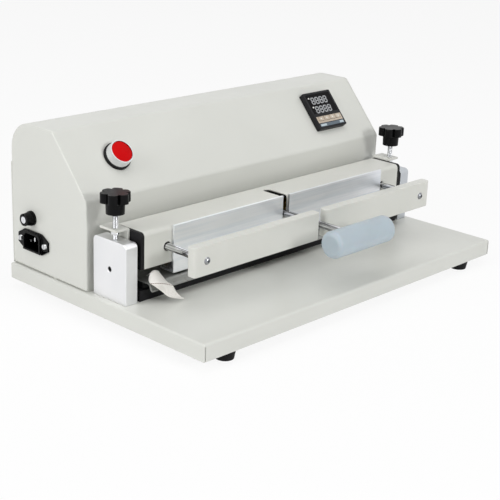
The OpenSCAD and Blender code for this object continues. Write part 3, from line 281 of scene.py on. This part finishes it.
# the button's bezel and the fuse disc are brighter than the rods, the guard screws are duller, the shoes
# show long streaks, and the right pillar is greyer than the left: that grey is painted shade on a copy
# of the aluminium, and the shoes are copies painted lighter on the left (painted light) and darker on
# the right (painted shade)
singleMetals = {
    "screwSteel": {"colour": paint(158, 160, 163), "shade": paint(140, 142, 146),
                   "rough": 0.14, "glossSpread": (0.05, 0.05),
                   "stretch": (1.0, 1.0, 1.0), "lines": 2200.0, "depth": 0.000006},
    "bezelChrome": {"colour": paint(236, 237, 239), "shade": paint(222, 224, 227),
                    "rough": 0.16, "glossSpread": (0.05, 0.05),
                    "stretch": (1.0, 0.05, 1.0), "lines": 2200.0, "depth": 0.000006},
    # right pillar: the aluminium painted greyer, painted shade
    "pillarPaintedShade": {**brushedAlloy, "colour": paint(198, 202, 206), "shade": paint(186, 190, 195)},
    # left shoe: the aluminium painted lighter, painted light
    "shoePaintedLight": {**brushedAlloy, "colour": paint(252, 253, 255), "shade": paint(246, 248, 251),
                   "streakAndPaintedReflection": paint(228, 234, 240), "streakLines": 230.0, "streakShare": (-0.3, 0.8)},
    # right shoe: a darker copy of the aluminium, painted shade
    "shoePaintedShade": {**brushedAlloy, "colour": paint(236, 237, 240), "shade": paint(229, 231, 235),
                 "streakAndPaintedReflection": paint(210, 216, 222), "streakLines": 230.0, "streakShare": (-0.3, 0.8)},
}


def metalMaterial(name, look):
    material, tree, shader = startMaterial(name, {"Metallic": look["metal"]})
    lines = useGroup(tree, brushLines, Stretch=look["stretch"], Lines=look["lines"])
    plain = clouded(tree, lines.outputs["Cloud"], look)
    if "streakAndPaintedReflection" in look:
        # wider lines along a bar: brush lines on the shoes, and on the bright steel near-black streaks
        # that are painted reflection of dark surroundings
        longStreaks = useGroup(tree, brushLines, Stretch=look["stretch"], Lines=look["streakLines"])
        share = spread(tree, longStreaks.outputs["Line"], *look["streakShare"])
        plain = mixColours(tree, share, plain, look["streakAndPaintedReflection"])
    setWorn(tree, shader, plain, look)
    setGloss(tree, shader, lines.outputs["Line"], look)
    bump(tree, shader, lines.outputs["Line"], look["depth"])
    return material


plasticBase = {"clouds": 40.0, "scuffSize": 90.0, "clean": 0.66,
               "glossSpread": (0.05, 0.06), "constants": {}}
plastics = {
    "rubber": {"colour": paint(26, 26, 27), "shade": paint(17, 17, 18), "worn": paint(46, 46, 46),
               "rough": 0.72, "bumps": 2200.0, "depth": 0.00004,
               "constants": {"Specular IOR Level": 0.2}},
    "black_plastic": {"colour": paint(9, 9, 10), "shade": paint(5, 5, 6), "worn": paint(20, 20, 21),
                      "rough": 0.33, "bumps": 2600.0, "depth": 0.00001,
                      "constants": {"Specular IOR Level": 0.13}},
    "black_board": {"colour": paint(24, 24, 26), "shade": paint(16, 16, 18), "worn": paint(40, 39, 38),
                    "clean": 0.6, "rough": 0.58, "bumps": 1400.0, "depth": 0.00004,
                    "constants": {"Specular IOR Level": 0.2}},
    "dark_window": {"colour": paint(9, 9, 11), "shade": paint(6, 6, 8),
                    "rough": 0.12, "bumps": 400.0, "depth": 0.000003,
                    "constants": {"Specular IOR Level": 0.08}},
    "contact_plastic": {"colour": paint(58, 62, 66), "shade": paint(48, 52, 56),
                        "rough": 0.5, "bumps": 1800.0, "depth": 0.00002},
    "red_plastic": {"colour": paint(208, 6, 12), "shade": paint(196, 4, 9), "worn": paint(188, 5, 9),
                    "rough": 0.4, "bumps": 1800.0, "depth": 0.000015,
                    "constants": {"Specular IOR Level": 0.08}},
    "key_plastic": {"colour": paint(207, 194, 178), "shade": paint(194, 180, 163),
                    "rough": 0.5, "bumps": 2400.0, "depth": 0.00002,
                    "constants": {"Specular IOR Level": 0.3}},
    "grip_plastic": {"colour": paint(179, 192, 200), "shade": paint(172, 185, 193),
                     "worn": paint(165, 179, 188), "clean": 0.68,
                     "rough": 0.36, "bumps": 1200.0, "clouds": 22.0, "depth": 0.00003,
                     "constants": {"Subsurface Weight": 0.12, "Subsurface Scale": 0.004}},
}
# finishes of the controller's case and of the scene's own marks
markPlastics = {
    "caseBlack": {"colour": paint(38, 38, 40), "shade": paint(30, 30, 32), "worn": paint(46, 46, 47),
                  "rough": 0.42, "bumps": 1800.0, "depth": 0.00002,
                  "constants": {"Specular IOR Level": 0.12}},
    "labelPale": {"colour": paint(200, 212, 217), "shade": paint(184, 198, 205),
                  "rough": 0.3, "bumps": 1500.0, "depth": 0.000008},
    "digitGrey": {"colour": paint(176, 178, 180), "shade": paint(150, 152, 155),
                  "rough": 0.5, "bumps": 3000.0, "clouds": 300.0, "depth": 0.000005},
    "markWhite": {"colour": paint(236, 236, 232), "shade": paint(222, 220, 214),
                  "rough": 0.5, "bumps": 3000.0, "depth": 0.000005},
    "labelGrey": {"colour": paint(98, 111, 121), "shade": paint(84, 97, 108),
                  "rough": 0.34, "bumps": 1500.0, "depth": 0.000008},
}


def plasticMaterial(name, look):
    material, tree, shader = startMaterial(name, look["constants"])
    grain = useGroup(tree, skinGrain, Bumps=look["bumps"], Clouds=look["clouds"])
    setWorn(tree, shader, clouded(tree, grain.outputs["Cloud"], look), look)
    setGloss(tree, shader, grain.outputs["Gloss"], look)
    bump(tree, shader, grain.outputs["Height"], look["depth"])
    return material


finishes = {}
for name, look in coats.items():
    finishes[name] = coatMaterial(name, {**coatBase, **look})
for name, look in {**metals, **singleMetals}.items():
    finishes[name] = metalMaterial(name, {**metalBase, **look})
for name, look in {**plastics, **markPlastics}.items():
    finishes[name] = plasticMaterial(name, {**plasticBase, **look})

# heat cloth: the stitches are placed in shares of the sheet, stitchGap is the bare share of a step
clothLook = {
    "colour": paint(250, 248, 244), "shade": paint(240, 237, 231), "rough": 0.85, "sheen": 0.3,
    "stain": paint(232, 229, 222), "stainSize": 70.0, "clean": 0.54,
    "weave": {"Scale": 14.0, "Distortion": 0.6, "Detail": 1.0}, "depth": 0.0001,
    "thread": paint(120, 84, 70), "stitchRow": 0.52, "stitchWidth": 0.012,
    "stitchStep": 0.04, "stitchGap": 0.35,
}


def makeCloth(name, look):
    # plain weave and one line of stitches, both on the sheet's own map
    constants = {"Roughness": look["rough"], "Sheen Weight": look["sheen"]}
    material, tree, shader = startMaterial(name, constants)
    place = addNode(tree, "ShaderNodeTexCoord")
    split = addNode(tree, "ShaderNodeSeparateXYZ")
    tree.links.new(place.outputs["UV"], split.inputs["Vector"])
    weave = addNode(tree, "ShaderNodeMath", operation="MULTIPLY")
    for number, direction in enumerate("XY"):
        wave = addNode(tree, "ShaderNodeTexWave", look["weave"], bands_direction=direction)
        tree.links.new(place.outputs["UV"], wave.inputs["Vector"])
        tree.links.new(wave.outputs["Fac"], weave.inputs[number])
    stains = useGroup(tree, scuffs, Size=look["stainSize"], Clean=look["clean"])
    plain = mixColours(tree, weave.outputs[0], look["shade"], look["colour"])
    soiled = mixColours(tree, stains.outputs["Mask"], plain, look["stain"])
    row = addNode(tree, "ShaderNodeMath", {1: look["stitchRow"], 2: look["stitchWidth"]},
                  operation="COMPARE")
    step = addNode(tree, "ShaderNodeMath", {1: look["stitchStep"]}, operation="PINGPONG")
    dash = addNode(tree, "ShaderNodeMath", {1: look["stitchGap"] * look["stitchStep"]},
                   operation="GREATER_THAN")
    stitch = addNode(tree, "ShaderNodeMath", operation="MULTIPLY")
    tree.links.new(split.outputs["Y"], row.inputs[0])
    tree.links.new(split.outputs["X"], step.inputs[0])
    tree.links.new(step.outputs[0], dash.inputs[0])
    tree.links.new(row.outputs[0], stitch.inputs[0])
    tree.links.new(dash.outputs[0], stitch.inputs[1])
    sewn = mixColours(tree, stitch.outputs[0], soiled, look["thread"])
    tree.links.new(sewn, shader.inputs["Base Color"])
    bump(tree, shader, weave.outputs[0], look["depth"])
    return material


finishes["cloth"] = makeCloth("cloth", clothLook)
print("finishes made:", len(finishes))

# pieces that differ from the finish of their slot; on the right pillar and the two shoes the difference
# is painted light and painted shade
ownFinish = {"button_bezel": "bezelChrome", "controller_case": "caseBlack", "guard_screws": "screwSteel",
             "right_pillar": "pillarPaintedShade", "left_shoe": "shoePaintedLight", "right_shoe": "shoePaintedShade"}


def finishOf(node):
    return ownFinish.get(node, slotOf[node])


for node, piece in frame["nodes"].items():
    for slot in piece.material_slots:
        slot.material = finishes[finishOf(node)]


def pickNothing():
    bpy.ops.object.select_all(action="DESELECT")


def pickOnly(piece):
    pickNothing()
    piece.select_set(True)
    bpy.context.view_layer.objects.active = piece


def startEdit():
    bpy.ops.object.mode_set(mode="EDIT")


def endEdit():
    bpy.ops.object.mode_set(mode="OBJECT")


def pickParts(piece, kind, test):
    # selects the piece's vertices or faces that pass the test and leaves it in edit mode
    pickOnly(piece)
    startEdit()
    bpy.ops.mesh.select_mode(type=kind)
    bpy.ops.mesh.select_all(action="DESELECT")
    endEdit()
    for part in piece.data.polygons if kind == "FACE" else piece.data.vertices:
        part.select = test(part)
    startEdit()


levelFace = 0.9  # least upward share of a normal on a level face


def facesUp(face):
    return face.normal.z > levelFace


def settle(piece, place):
    # moves the piece and puts its place into its mesh
    pickOnly(piece)
    piece.matrix_world = place @ piece.matrix_world
    bpy.ops.object.transform_apply(location=True, rotation=True, scale=True)


def dress(piece, finish, body):
    piece.data.materials.clear()
    piece.data.materials.append(finishes[finish])
    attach(piece, body)


def applyModifier(piece, kind, **settings):
    pickOnly(piece)
    modifier = piece.modifiers.new(kind.lower(), kind)
    for name, value in settings.items():
        setattr(modifier, name, value)
    bpy.ops.object.modifier_apply(modifier=modifier.name)


def newPiece(name):
    # the primitive that was just added, under its own name
    piece = bpy.context.object
    piece.name = name
    piece.data.name = name
    return piece


def twin(piece, place):
    other = piece.copy()
    other.data = piece.data.copy()
    bpy.context.scene.collection.objects.link(other)
    other.matrix_world = place
    return other


def joinAll(pieces, name):
    pickNothing()
    for piece in pieces:
        piece.select_set(True)
    bpy.context.view_layer.objects.active = pieces[0]
    bpy.ops.object.join()
    return newPiece(name)


largeFaces = 60  # how much the large faces steer the shading, 50 is none


def smooth(piece, degrees):
    pickOnly(piece)
    bpy.ops.object.shade_smooth_by_angle(angle=math.radians(degrees))
    applyModifier(piece, "WEIGHTED_NORMAL", keep_sharp=True, weight=largeFaces)


# edge rounding in metres for the pieces whose edges catch the light
edgeRound = {
    "base_pan": 0.0003, "housing_cover": 0.0002, "left_side_panel": 0.0013, "right_side_panel": 0.0013,
    "rear_panel": 0.0004, "beam_cover": 0.0004, "left_end_plate": 0.0004, "right_end_plate": 0.0004,
    "left_bracket": 0.0004, "right_bracket": 0.0004, "left_pillar": 0.0008, "right_pillar": 0.0008,
    "left_shoe": 0.0003, "right_shoe": 0.0003, "left_guard_bar": 0.0004, "right_guard_bar": 0.0004,
    "lower_jaw": 0.0003, "controller_case": 0.0004, "inlet_socket": 0.0004,
}
# how the edges are found and rounded: angles in degrees, gaps in metres
rounding = {"mergeGap": 0.000002, "flatAngle": 0.3, "sharpAngle": 32, "segments": 3, "flushGap": 0.00001}
# the side panels lie against the cover, so only the rim of their outer face is rounded
outerSide = {"left_side_panel": -1, "right_side_panel": 1}


def keepOuter(piece, side, gap):
    # of the selected edges, keeps those in the plane of the outer face
    endEdit()
    points = piece.data.vertices
    reach = max(side * point.co.x for point in points)
    for edge in piece.data.edges:
        flush = all(side * points[end].co.x > reach - gap for end in edge.vertices)
        edge.select = edge.select and flush
    startEdit()


def softCopy(node, width, look):
    piece = bpy.data.objects.new(node + "_soft", frame["nodes"][node].data.copy())
    bpy.context.scene.collection.objects.link(piece)
    pickOnly(piece)
    bpy.ops.mesh.customdata_custom_splitnormals_clear()
    startEdit()
    bpy.ops.mesh.select_mode(type="EDGE")
    bpy.ops.mesh.select_all(action="SELECT")
    bpy.ops.mesh.remove_doubles(threshold=look["mergeGap"])
    bpy.ops.mesh.dissolve_limited(angle_limit=math.radians(look["flatAngle"]))
    bpy.ops.mesh.select_all(action="DESELECT")
    bpy.ops.mesh.edges_select_sharp(sharpness=math.radians(look["sharpAngle"]))
    if node in outerSide:
        keepOuter(piece, outerSide[node], look["flushGap"])
    bpy.ops.mesh.bevel(offset=width, segments=look["segments"], affect="EDGES")
    endEdit()
    smooth(piece, look["sharpAngle"])
    dress(piece, finishOf(node), bodyOf[node])
    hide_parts(node)


for node, width in edgeRound.items():
    softCopy(node, width, rounding)
print("softened pieces:", len(edgeRound))

# tail of the heat cloth: left and right edge from the jaw to the tip and its bulge in millimetres,
# thickness, flat size and area in metres
clothTail = {
    "left": ((-189, -22, 50), (-188, -30, 57), (-194, -33, 57), (-198, -35, 52), (-199, -38, 49),
             (-196, -42, 46), (-191, -46, 41), (-185, -51, 35), (-170, -53, 29.6)),
    "right": ((-172, -22, 50), (-181, -30, 55), (-182, -37, 52), (-180, -42, 47), (-177, -46, 44),
              (-176, -49, 40), (-175, -51, 37), (-172, -53, 33), (-167, -53, 29.6)),
    "outward": (-0.5, -0.6, 0.6), "bulge": 4.0, "bulgeStart": 0.15, "bulgePower": 1.3, "archPower": 0.8,
    "columns": 12, "steps": 5, "thick": 0.0005, "flat": (0.026, 0.045), "area": 0.00071,
}


def alongCurve(points, place):
    # smooth curve through the points, place counted in points from the first
    last = len(points) - 1
    first = min(int(place), last - 1)
    t = place - first
    before, start, end, after = (Vector(points[min(max(first + k, 0), last)]) for k in (-1, 0, 1, 2))
    return 0.5 * (2 * start + (end - before) * t + (2 * before - 5 * start + 4 * end - after) * t ** 2
                  + (3 * start - before - 3 * end + after) * t ** 3)


def makeClothTail(tail):
    rows = (len(tail["left"]) - 1) * tail["steps"]
    outward = Vector(tail["outward"]).normalized()
    corners = []
    spots = []
    for row in range(rows + 1):
        left = alongCurve(tail["left"], row / tail["steps"])
        right = alongCurve(tail["right"], row / tail["steps"])
        rise = min(1.0, tail["bulgeStart"] + row / rows) ** tail["bulgePower"]
        lift = tail["bulge"] * math.sin(math.pi * rise)
        for column in range(tail["columns"] + 1):
            across = column / tail["columns"]
            arch = outward * (lift * math.sin(math.pi * across) ** tail["archPower"])
            corners.append(mm * (left.lerp(right, across) + arch))
            spots.append((across, row / rows))
    width = tail["columns"] + 1
    faces = [(r * width + c, (r + 1) * width + c, (r + 1) * width + c + 1, r * width + c + 1)
             for r in range(rows) for c in range(tail["columns"])]
    mesh = bpy.data.meshes.new("heat_cloth_tail")
    mesh.from_pydata(corners, [], faces)
    layer = mesh.uv_layers.new(name="weave")
    for loop in mesh.loops:
        layer.data[loop.index].uv = spots[loop.vertex_index]
    piece = bpy.data.objects.new("heat_cloth_tail", mesh)
    bpy.context.scene.collection.objects.link(piece)
    print("cloth area before its thickness:", sum(face.area for face in mesh.polygons))
    applyModifier(piece, "SOLIDIFY", thickness=tail["thick"], offset=0.0)
    pickOnly(piece)
    bpy.ops.object.shade_smooth()
    dress(piece, "cloth", bodyOf["heat_cloth"])
    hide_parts("heat_cloth")


makeClothTail(clothTail)
print("cloth made")

# thread of the spindles that carry the knobs: metres and degrees, spare turns past the ends are cut off
thread = {"pitch": 0.001, "depth": 0.00055, "steps": 24, "spare": 2,
          "mergeGap": 0.00001, "smoothAngle": 35}


def makeThread(node, look):
    low, high = (Vector(corner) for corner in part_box(node))
    outer = (high.x - low.x) / 2
    turns = int((high.z - low.z) / look["pitch"]) + 2 * look["spare"]
    pickNothing()
    bpy.ops.mesh.primitive_plane_add(size=look["pitch"])
    piece = newPiece(node + "_thread")
    pickParts(piece, "VERT", lambda point: point.index == 0)
    bpy.ops.mesh.delete(type="VERT")
    endEdit()
    # the three points left are root, crest and root of one turn
    first, second = piece.data.edges
    crest = (set(first.vertices) & set(second.vertices)).pop()
    roots = [point.index for point in piece.data.vertices if point.index != crest]
    start = low.z - look["spare"] * look["pitch"]
    piece.data.vertices[crest].co = (outer, 0, start + look["pitch"] / 2)
    piece.data.vertices[roots[0]].co = (outer - look["depth"], 0, start)
    piece.data.vertices[roots[1]].co = (outer - look["depth"], 0, start + look["pitch"])
    applyModifier(piece, "SCREW", axis="Z", screw_offset=look["pitch"], iterations=turns,
                  steps=look["steps"], render_steps=look["steps"])
    pickParts(piece, "VERT", lambda point: True)
    bpy.ops.mesh.remove_doubles(threshold=look["mergeGap"])
    for level, side in ((low.z, -1), (high.z, 1)):
        bpy.ops.mesh.select_all(action="SELECT")
        bpy.ops.mesh.bisect(plane_co=(0, 0, level), plane_no=(0, 0, side),
                            use_fill=True, clear_outer=True)
    bpy.ops.mesh.select_all(action="SELECT")
    bpy.ops.mesh.normals_make_consistent(inside=False)
    endEdit()
    settle(piece, Matrix.Translation(((low.x + high.x) / 2, (low.y + high.y) / 2, 0)))
    pickOnly(piece)
    bpy.ops.object.shade_smooth_by_angle(angle=math.radians(look["smoothAngle"]))
    dress(piece, "steel", bodyOf[node])
    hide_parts(node)


for node in ("left_spindle", "right_spindle"):
    makeThread(node, thread)
print("threads made")

# small edges of strips and disc, in metres, and the angle in degrees up to which they and the lamps
# are smooth
thinEdge = {"width": 0.0001, "segments": 2, "limit_method": "ANGLE"}
thinAngle = 40

# controller front, in millimetres: x, slopeMiddle and up give its middle in the frame, other places run
# from there across and up the slope, and levels are heights above it; tilt, turns and angle are degrees;
# dotDeep, dotRim and dotLift are shares of the lamp's radius
front = {
    "x": 153.0, "up": 3.1, "slopeMiddle": (51.1, 151.4), "tilt": 48.907,
    "faceLevel": 6.5, "windowLevel": 6.1, "keyLevel": 7.4,
    "digits": 4, "digitRows": (12.7, 0.8), "digitsFrom": -11.9, "digitPitch": 7.2,
    "digitWide": 4.7, "digitHigh": 7.8, "slant": 0.1,
    "segment": 1.5, "segmentGap": 0.15, "thick": 0.15,
    "dots": ((-17.4, 16.6), (-17.0, 4.5)), "dotRadius": 1.05, "dotSides": 24,
    "dotDeep": 0.4, "dotRim": 0.3, "dotLift": 0.25,
    "keyStrip": {"middle": 0.0, "wide": 43.0, "low": -16.7, "high": -8.3, "thick": 0.3},
    "footStrip": {"middle": 0.0, "wide": 42.0, "low": -21.6, "high": -17.5, "thick": 0.25},
    "footEnds": ({"middle": -15.2, "wide": 10.0, "low": -21.0, "high": -18.3, "thick": 0.45},
                 {"middle": 17.0, "wide": 6.5, "low": -21.0, "high": -18.3, "thick": 0.45}),
    "keys": ("key_1", "key_2", "key_3", "key_4"), "keyPitch": 10.0, "keyDown": 11.5,
    "keyWide": 8.7, "keyHigh": 5.7,
    "mark": 1.7, "markThick": 0.2, "markTurns": (90, 180, 0, 0),
    "ringKey": 3, "ringSides": 24, "ringWall": 0.5,
    "arrowSides": 3, "arrowRound": 0.3, "arrowSegments": 3, "arrowAngle": 95,
}


def onFront(look, across, up, level):
    # place on the controller's front, taking millimetres
    slope = Matrix.Translation(Vector((look["x"], *look["slopeMiddle"])) * mm)
    tilt = Matrix.Rotation(math.radians(look["tilt"]), 4, "X")
    return slope @ tilt @ Matrix.Translation(Vector((across, up + look["up"], level)) * mm)


def makeSegment(length, look):
    # long six-sided bar of a digit, pointed at both ends, along Y
    radius = mm * look["segment"] / math.sqrt(3)
    pickNothing()
    bpy.ops.mesh.primitive_cylinder_add(vertices=6, radius=radius, depth=mm * look["thick"])
    piece = newPiece("segment")
    for side in (1, -1):
        pickParts(piece, "VERT", lambda point: point.co.y * side > 0)
        bpy.ops.transform.translate(value=(0, side * (mm * length / 2 - radius), 0))
        endEdit()
    return piece


def makeDigits(look):
    wide, high = look["digitWide"], look["digitHigh"]
    lean = Matrix.Rotation(-math.atan(look["slant"]), 4, "Z")
    level = Matrix.Rotation(math.radians(90), 4, "Z")
    upright = makeSegment(high / 2 - look["segmentGap"], look)
    flat = makeSegment(wide - look["segmentGap"], look)
    bars = [(flat, 0, step * high / 2, level) for step in (1, 0, -1)]
    bars += [(upright, side * wide / 2, step * high / 4, lean) for side in (-1, 1) for step in (-1, 1)]
    made = []
    for row in look["digitRows"]:
        for column in range(look["digits"]):
            middle = look["digitsFrom"] + column * look["digitPitch"]
            for source, across, up, turn in bars:
                spot = Vector((middle + across + look["slant"] * up, row + up, 0))
                made.append(twin(source, Matrix.Translation(spot * mm) @ turn))
    for source in (upright, flat):
        bpy.data.objects.remove(source)
    digits = joinAll(made, "display_digits")
    settle(digits, onFront(look, 0, 0, look["windowLevel"] + look["thick"] / 2))
    dress(digits, "digitGrey", bodyOf["controller_window"])


def makeDots(look):
    # two small lamps beside the rows
    radius = mm * look["dotRadius"]
    pickNothing()
    bpy.ops.mesh.primitive_cylinder_add(vertices=look["dotSides"], radius=radius,
                                        depth=look["dotDeep"] * radius)
    lamp = newPiece("lamp")
    pickParts(lamp, "FACE", facesUp)
    bpy.ops.mesh.inset(thickness=look["dotRim"] * radius)
    bpy.ops.transform.translate(value=(0, 0, look["dotLift"] * radius))
    endEdit()
    made = [twin(lamp, Matrix.Translation(Vector((across, up, 0)) * mm)) for across, up in look["dots"]]
    bpy.data.objects.remove(lamp)
    dots = joinAll(made, "display_lamps")
    settle(dots, onFront(look, 0, 0, look["windowLevel"] + look["dotDeep"] * look["dotRadius"] / 2))
    smooth(dots, thinAngle)
    dress(dots, "markWhite", bodyOf["controller_window"])


def makeStrip(look, strip, name, finish, holes=()):
    # thin foil on the front; holes are left, right, bottom, top from the strip's middle
    wide, high = strip["wide"], strip["high"] - strip["low"]
    pickNothing()
    bpy.ops.mesh.primitive_plane_add(size=mm)
    piece = newPiece(name)
    startEdit()
    bpy.ops.transform.resize(value=(wide, high, 1))
    across, up = Vector((1, 0, 0)), Vector((0, 1, 0))
    for left, right, bottom, top in holes:
        for spot, facing in ((left, across), (right, across), (bottom, up), (top, up)):
            bpy.ops.mesh.select_all(action="SELECT")
            bpy.ops.mesh.bisect(plane_co=facing * spot * mm, plane_no=facing)
    endEdit()

    def inHole(face):
        x, y = face.center.x / mm, face.center.y / mm
        return any(left < x < right and bottom < y < top for left, right, bottom, top in holes)

    pickParts(piece, "FACE", inHole)
    bpy.ops.mesh.delete(type="FACE")
    endEdit()
    applyModifier(piece, "SOLIDIFY", thickness=mm * strip["thick"], offset=1.0)
    applyModifier(piece, "BEVEL", **thinEdge)
    settle(piece, onFront(look, strip["middle"], (strip["low"] + strip["high"]) / 2, look["faceLevel"]))
    smooth(piece, thinAngle)
    dress(piece, finish, bodyOf["controller_case"])


def keyColumn(look, number):
    return (number - (len(look["keys"]) - 1) / 2) * look["keyPitch"]


def keyHoles(look):
    # openings of the key strip, one round each key
    row = -look["keyDown"] - (look["keyStrip"]["low"] + look["keyStrip"]["high"]) / 2
    halfWide, halfHigh = look["keyWide"] / 2, look["keyHigh"] / 2
    columns = [keyColumn(look, number) for number in range(len(look["keys"]))]
    return [(column - halfWide, column + halfWide, row - halfHigh, row + halfHigh) for column in columns]


def makeKeyMarks(look):
    # arrow heads on the keys and a plain ring on the last
    for number, (node, turn) in enumerate(zip(look["keys"], look["markTurns"])):
        ring = number == look["ringKey"]
        sides = look["ringSides"] if ring else look["arrowSides"]
        pickNothing()
        bpy.ops.mesh.primitive_cylinder_add(vertices=sides, radius=mm * look["mark"],
                                            depth=mm * look["markThick"],
                                            rotation=(0, 0, math.radians(turn)))
        piece = newPiece(node + "_mark")
        if ring:
            pickParts(piece, "FACE", lambda face: abs(face.normal.z) > levelFace)
            bpy.ops.mesh.inset(thickness=mm * look["ringWall"])
            bpy.ops.mesh.bridge_edge_loops()
            endEdit()
        else:
            applyModifier(piece, "BEVEL", width=mm * look["arrowRound"], segments=look["arrowSegments"],
                          limit_method="ANGLE", angle_limit=math.radians(look["arrowAngle"]))
        settle(piece, onFront(look, keyColumn(look, number), -look["keyDown"], look["keyLevel"]))
        dress(piece, "markWhite", bodyOf[node])


makeDigits(front)
makeDots(front)
makeStrip(front, front["keyStrip"], "key_strip", "key_plastic", keyHoles(front))
makeStrip(front, front["footStrip"], "foot_strip", "labelGrey")
for strip, side in zip(front["footEnds"], ("left", "right")):
    makeStrip(front, strip, "foot_strip_" + side, "labelPale")
makeKeyMarks(front)
print("controller front made")

# slotted disc in the end of the fuse cap: millimetres, place is its middle on the cap's end
fuseDisc = {"place": (-237.2, 112.5, 84.0), "radius": 3.6, "sides": 40, "thick": 0.7, "proud": 0.35,
            "slotLong": 6.0, "slotWide": 1.3, "slotDeep": 0.3}


def makeFuseDisc(look):
    halfLong, halfWide = mm * look["slotLong"] / 2, mm * look["slotWide"] / 2
    pickNothing()
    bpy.ops.mesh.primitive_cylinder_add(vertices=look["sides"], radius=mm * look["radius"],
                                        depth=mm * look["thick"])
    piece = newPiece("fuse_disc")
    startEdit()
    for side in (-1, 1):
        for half, facing in ((halfLong, Vector((1, 0, 0))), (halfWide, Vector((0, 1, 0)))):
            bpy.ops.mesh.select_all(action="SELECT")
            bpy.ops.mesh.bisect(plane_co=facing * side * half, plane_no=facing)
    endEdit()

    def inSlot(face):
        return facesUp(face) and abs(face.center.x) < halfLong and abs(face.center.y) < halfWide

    pickParts(piece, "FACE", inSlot)
    bpy.ops.mesh.extrude_region_move(TRANSFORM_OT_translate={"value": (0, 0, -mm * look["slotDeep"])})
    endEdit()
    applyModifier(piece, "BEVEL", **thinEdge)
    turn = Matrix.Rotation(math.radians(-90), 4, "Y")
    sink = Matrix.Translation((0, 0, mm * (look["proud"] - look["thick"] / 2)))
    settle(piece, Matrix.Translation(Vector(look["place"]) * mm) @ turn @ sink)
    smooth(piece, thinAngle)
    dress(piece, "bezelChrome", bodyOf["fuse_cap"])


makeFuseDisc(fuseDisc)
print("fuse disc made")

# studio: pale floor and soft lamps; strengths are watts, sizes and places metres
studio = {
    "floorSize": 20.0, "floorColour": paint(250, 250, 250), "floorGlow": 0.88,
    "white": (1.0, 1.0, 1.0, 1.0), "fill": 0.34,
    "lamps": (
        {"name": "top", "place": (-0.3, -0.2, 2.2), "aim": (0, 0, 0.1), "size": 2.2, "watts": 17.5},
        {"name": "front", "place": (0.15, -2.1, 1.0), "aim": (0.05, 0, 0.1), "size": 0.5, "watts": 16},
        {"name": "left", "place": (-2.2, 0.3, 1.1), "aim": (0, 0, 0.1), "size": 1.4, "watts": 21.5},
    ),
}


def seenRays(tree):
    # 1 for rays from the camera and for those that metal or glass sends on
    path = addNode(tree, "ShaderNodeLightPath")
    mirrored = addNode(tree, "ShaderNodeMath", operation="MAXIMUM")
    seen = addNode(tree, "ShaderNodeMath", operation="MAXIMUM")
    tree.links.new(path.outputs["Is Glossy Ray"], mirrored.inputs[0])
    tree.links.new(path.outputs["Is Transmission Ray"], mirrored.inputs[1])
    tree.links.new(path.outputs["Is Camera Ray"], seen.inputs[0])
    tree.links.new(mirrored.outputs[0], seen.inputs[1])
    return seen.outputs[0]


def mixShaders(tree, share, first, second, kind):
    mix = addNode(tree, "ShaderNodeMixShader")
    out = addNode(tree, kind)
    tree.links.new(share, mix.inputs[0])
    tree.links.new(first.outputs[0], mix.inputs[1])
    tree.links.new(second.outputs[0], mix.inputs[2])
    tree.links.new(mix.outputs[0], out.inputs["Surface"])


def makeFloor(look):
    pickNothing()
    bpy.ops.mesh.primitive_plane_add(size=look["floorSize"])
    floor = newPiece("floor")
    material = bpy.data.materials.new("floor")
    material.use_nodes = True
    tree = material.node_tree
    tree.nodes.clear()
    shade = addNode(tree, "ShaderNodeBsdfDiffuse", {"Color": look["floorColour"]})
    glow = addNode(tree, "ShaderNodeEmission", {"Color": look["white"], "Strength": 1.0})
    share = addNode(tree, "ShaderNodeMath", {1: look["floorGlow"]}, operation="MULTIPLY")
    tree.links.new(seenRays(tree), share.inputs[0])
    mixShaders(tree, share.outputs[0], shade, glow, "ShaderNodeOutputMaterial")
    floor.data.materials.append(material)


def makeWorld(look):
    world = bpy.data.worlds.new("studio")
    bpy.context.scene.world = world
    world.use_nodes = True
    tree = world.node_tree
    tree.nodes.clear()
    seen = addNode(tree, "ShaderNodeBackground", {"Color": look["white"], "Strength": 1.0})
    fill = addNode(tree, "ShaderNodeBackground", {"Color": look["white"], "Strength": look["fill"]})
    mixShaders(tree, seenRays(tree), fill, seen, "ShaderNodeOutputWorld")


def makeLamp(lamp):
    data = bpy.data.lights.new(lamp["name"], "AREA")
    data.shape = "SQUARE"
    data.size = lamp["size"]
    data.energy = lamp["watts"]
    holder = bpy.data.objects.new(lamp["name"], data)
    bpy.context.scene.collection.objects.link(holder)
    holder.location = lamp["place"]
    towards = Vector(lamp["aim"]) - Vector(lamp["place"])
    holder.rotation_euler = towards.to_track_quat("-Z", "Y").to_euler()


makeFloor(studio)
makeWorld(studio)
for lamp in studio["lamps"]:
    makeLamp(lamp)
print("studio set")
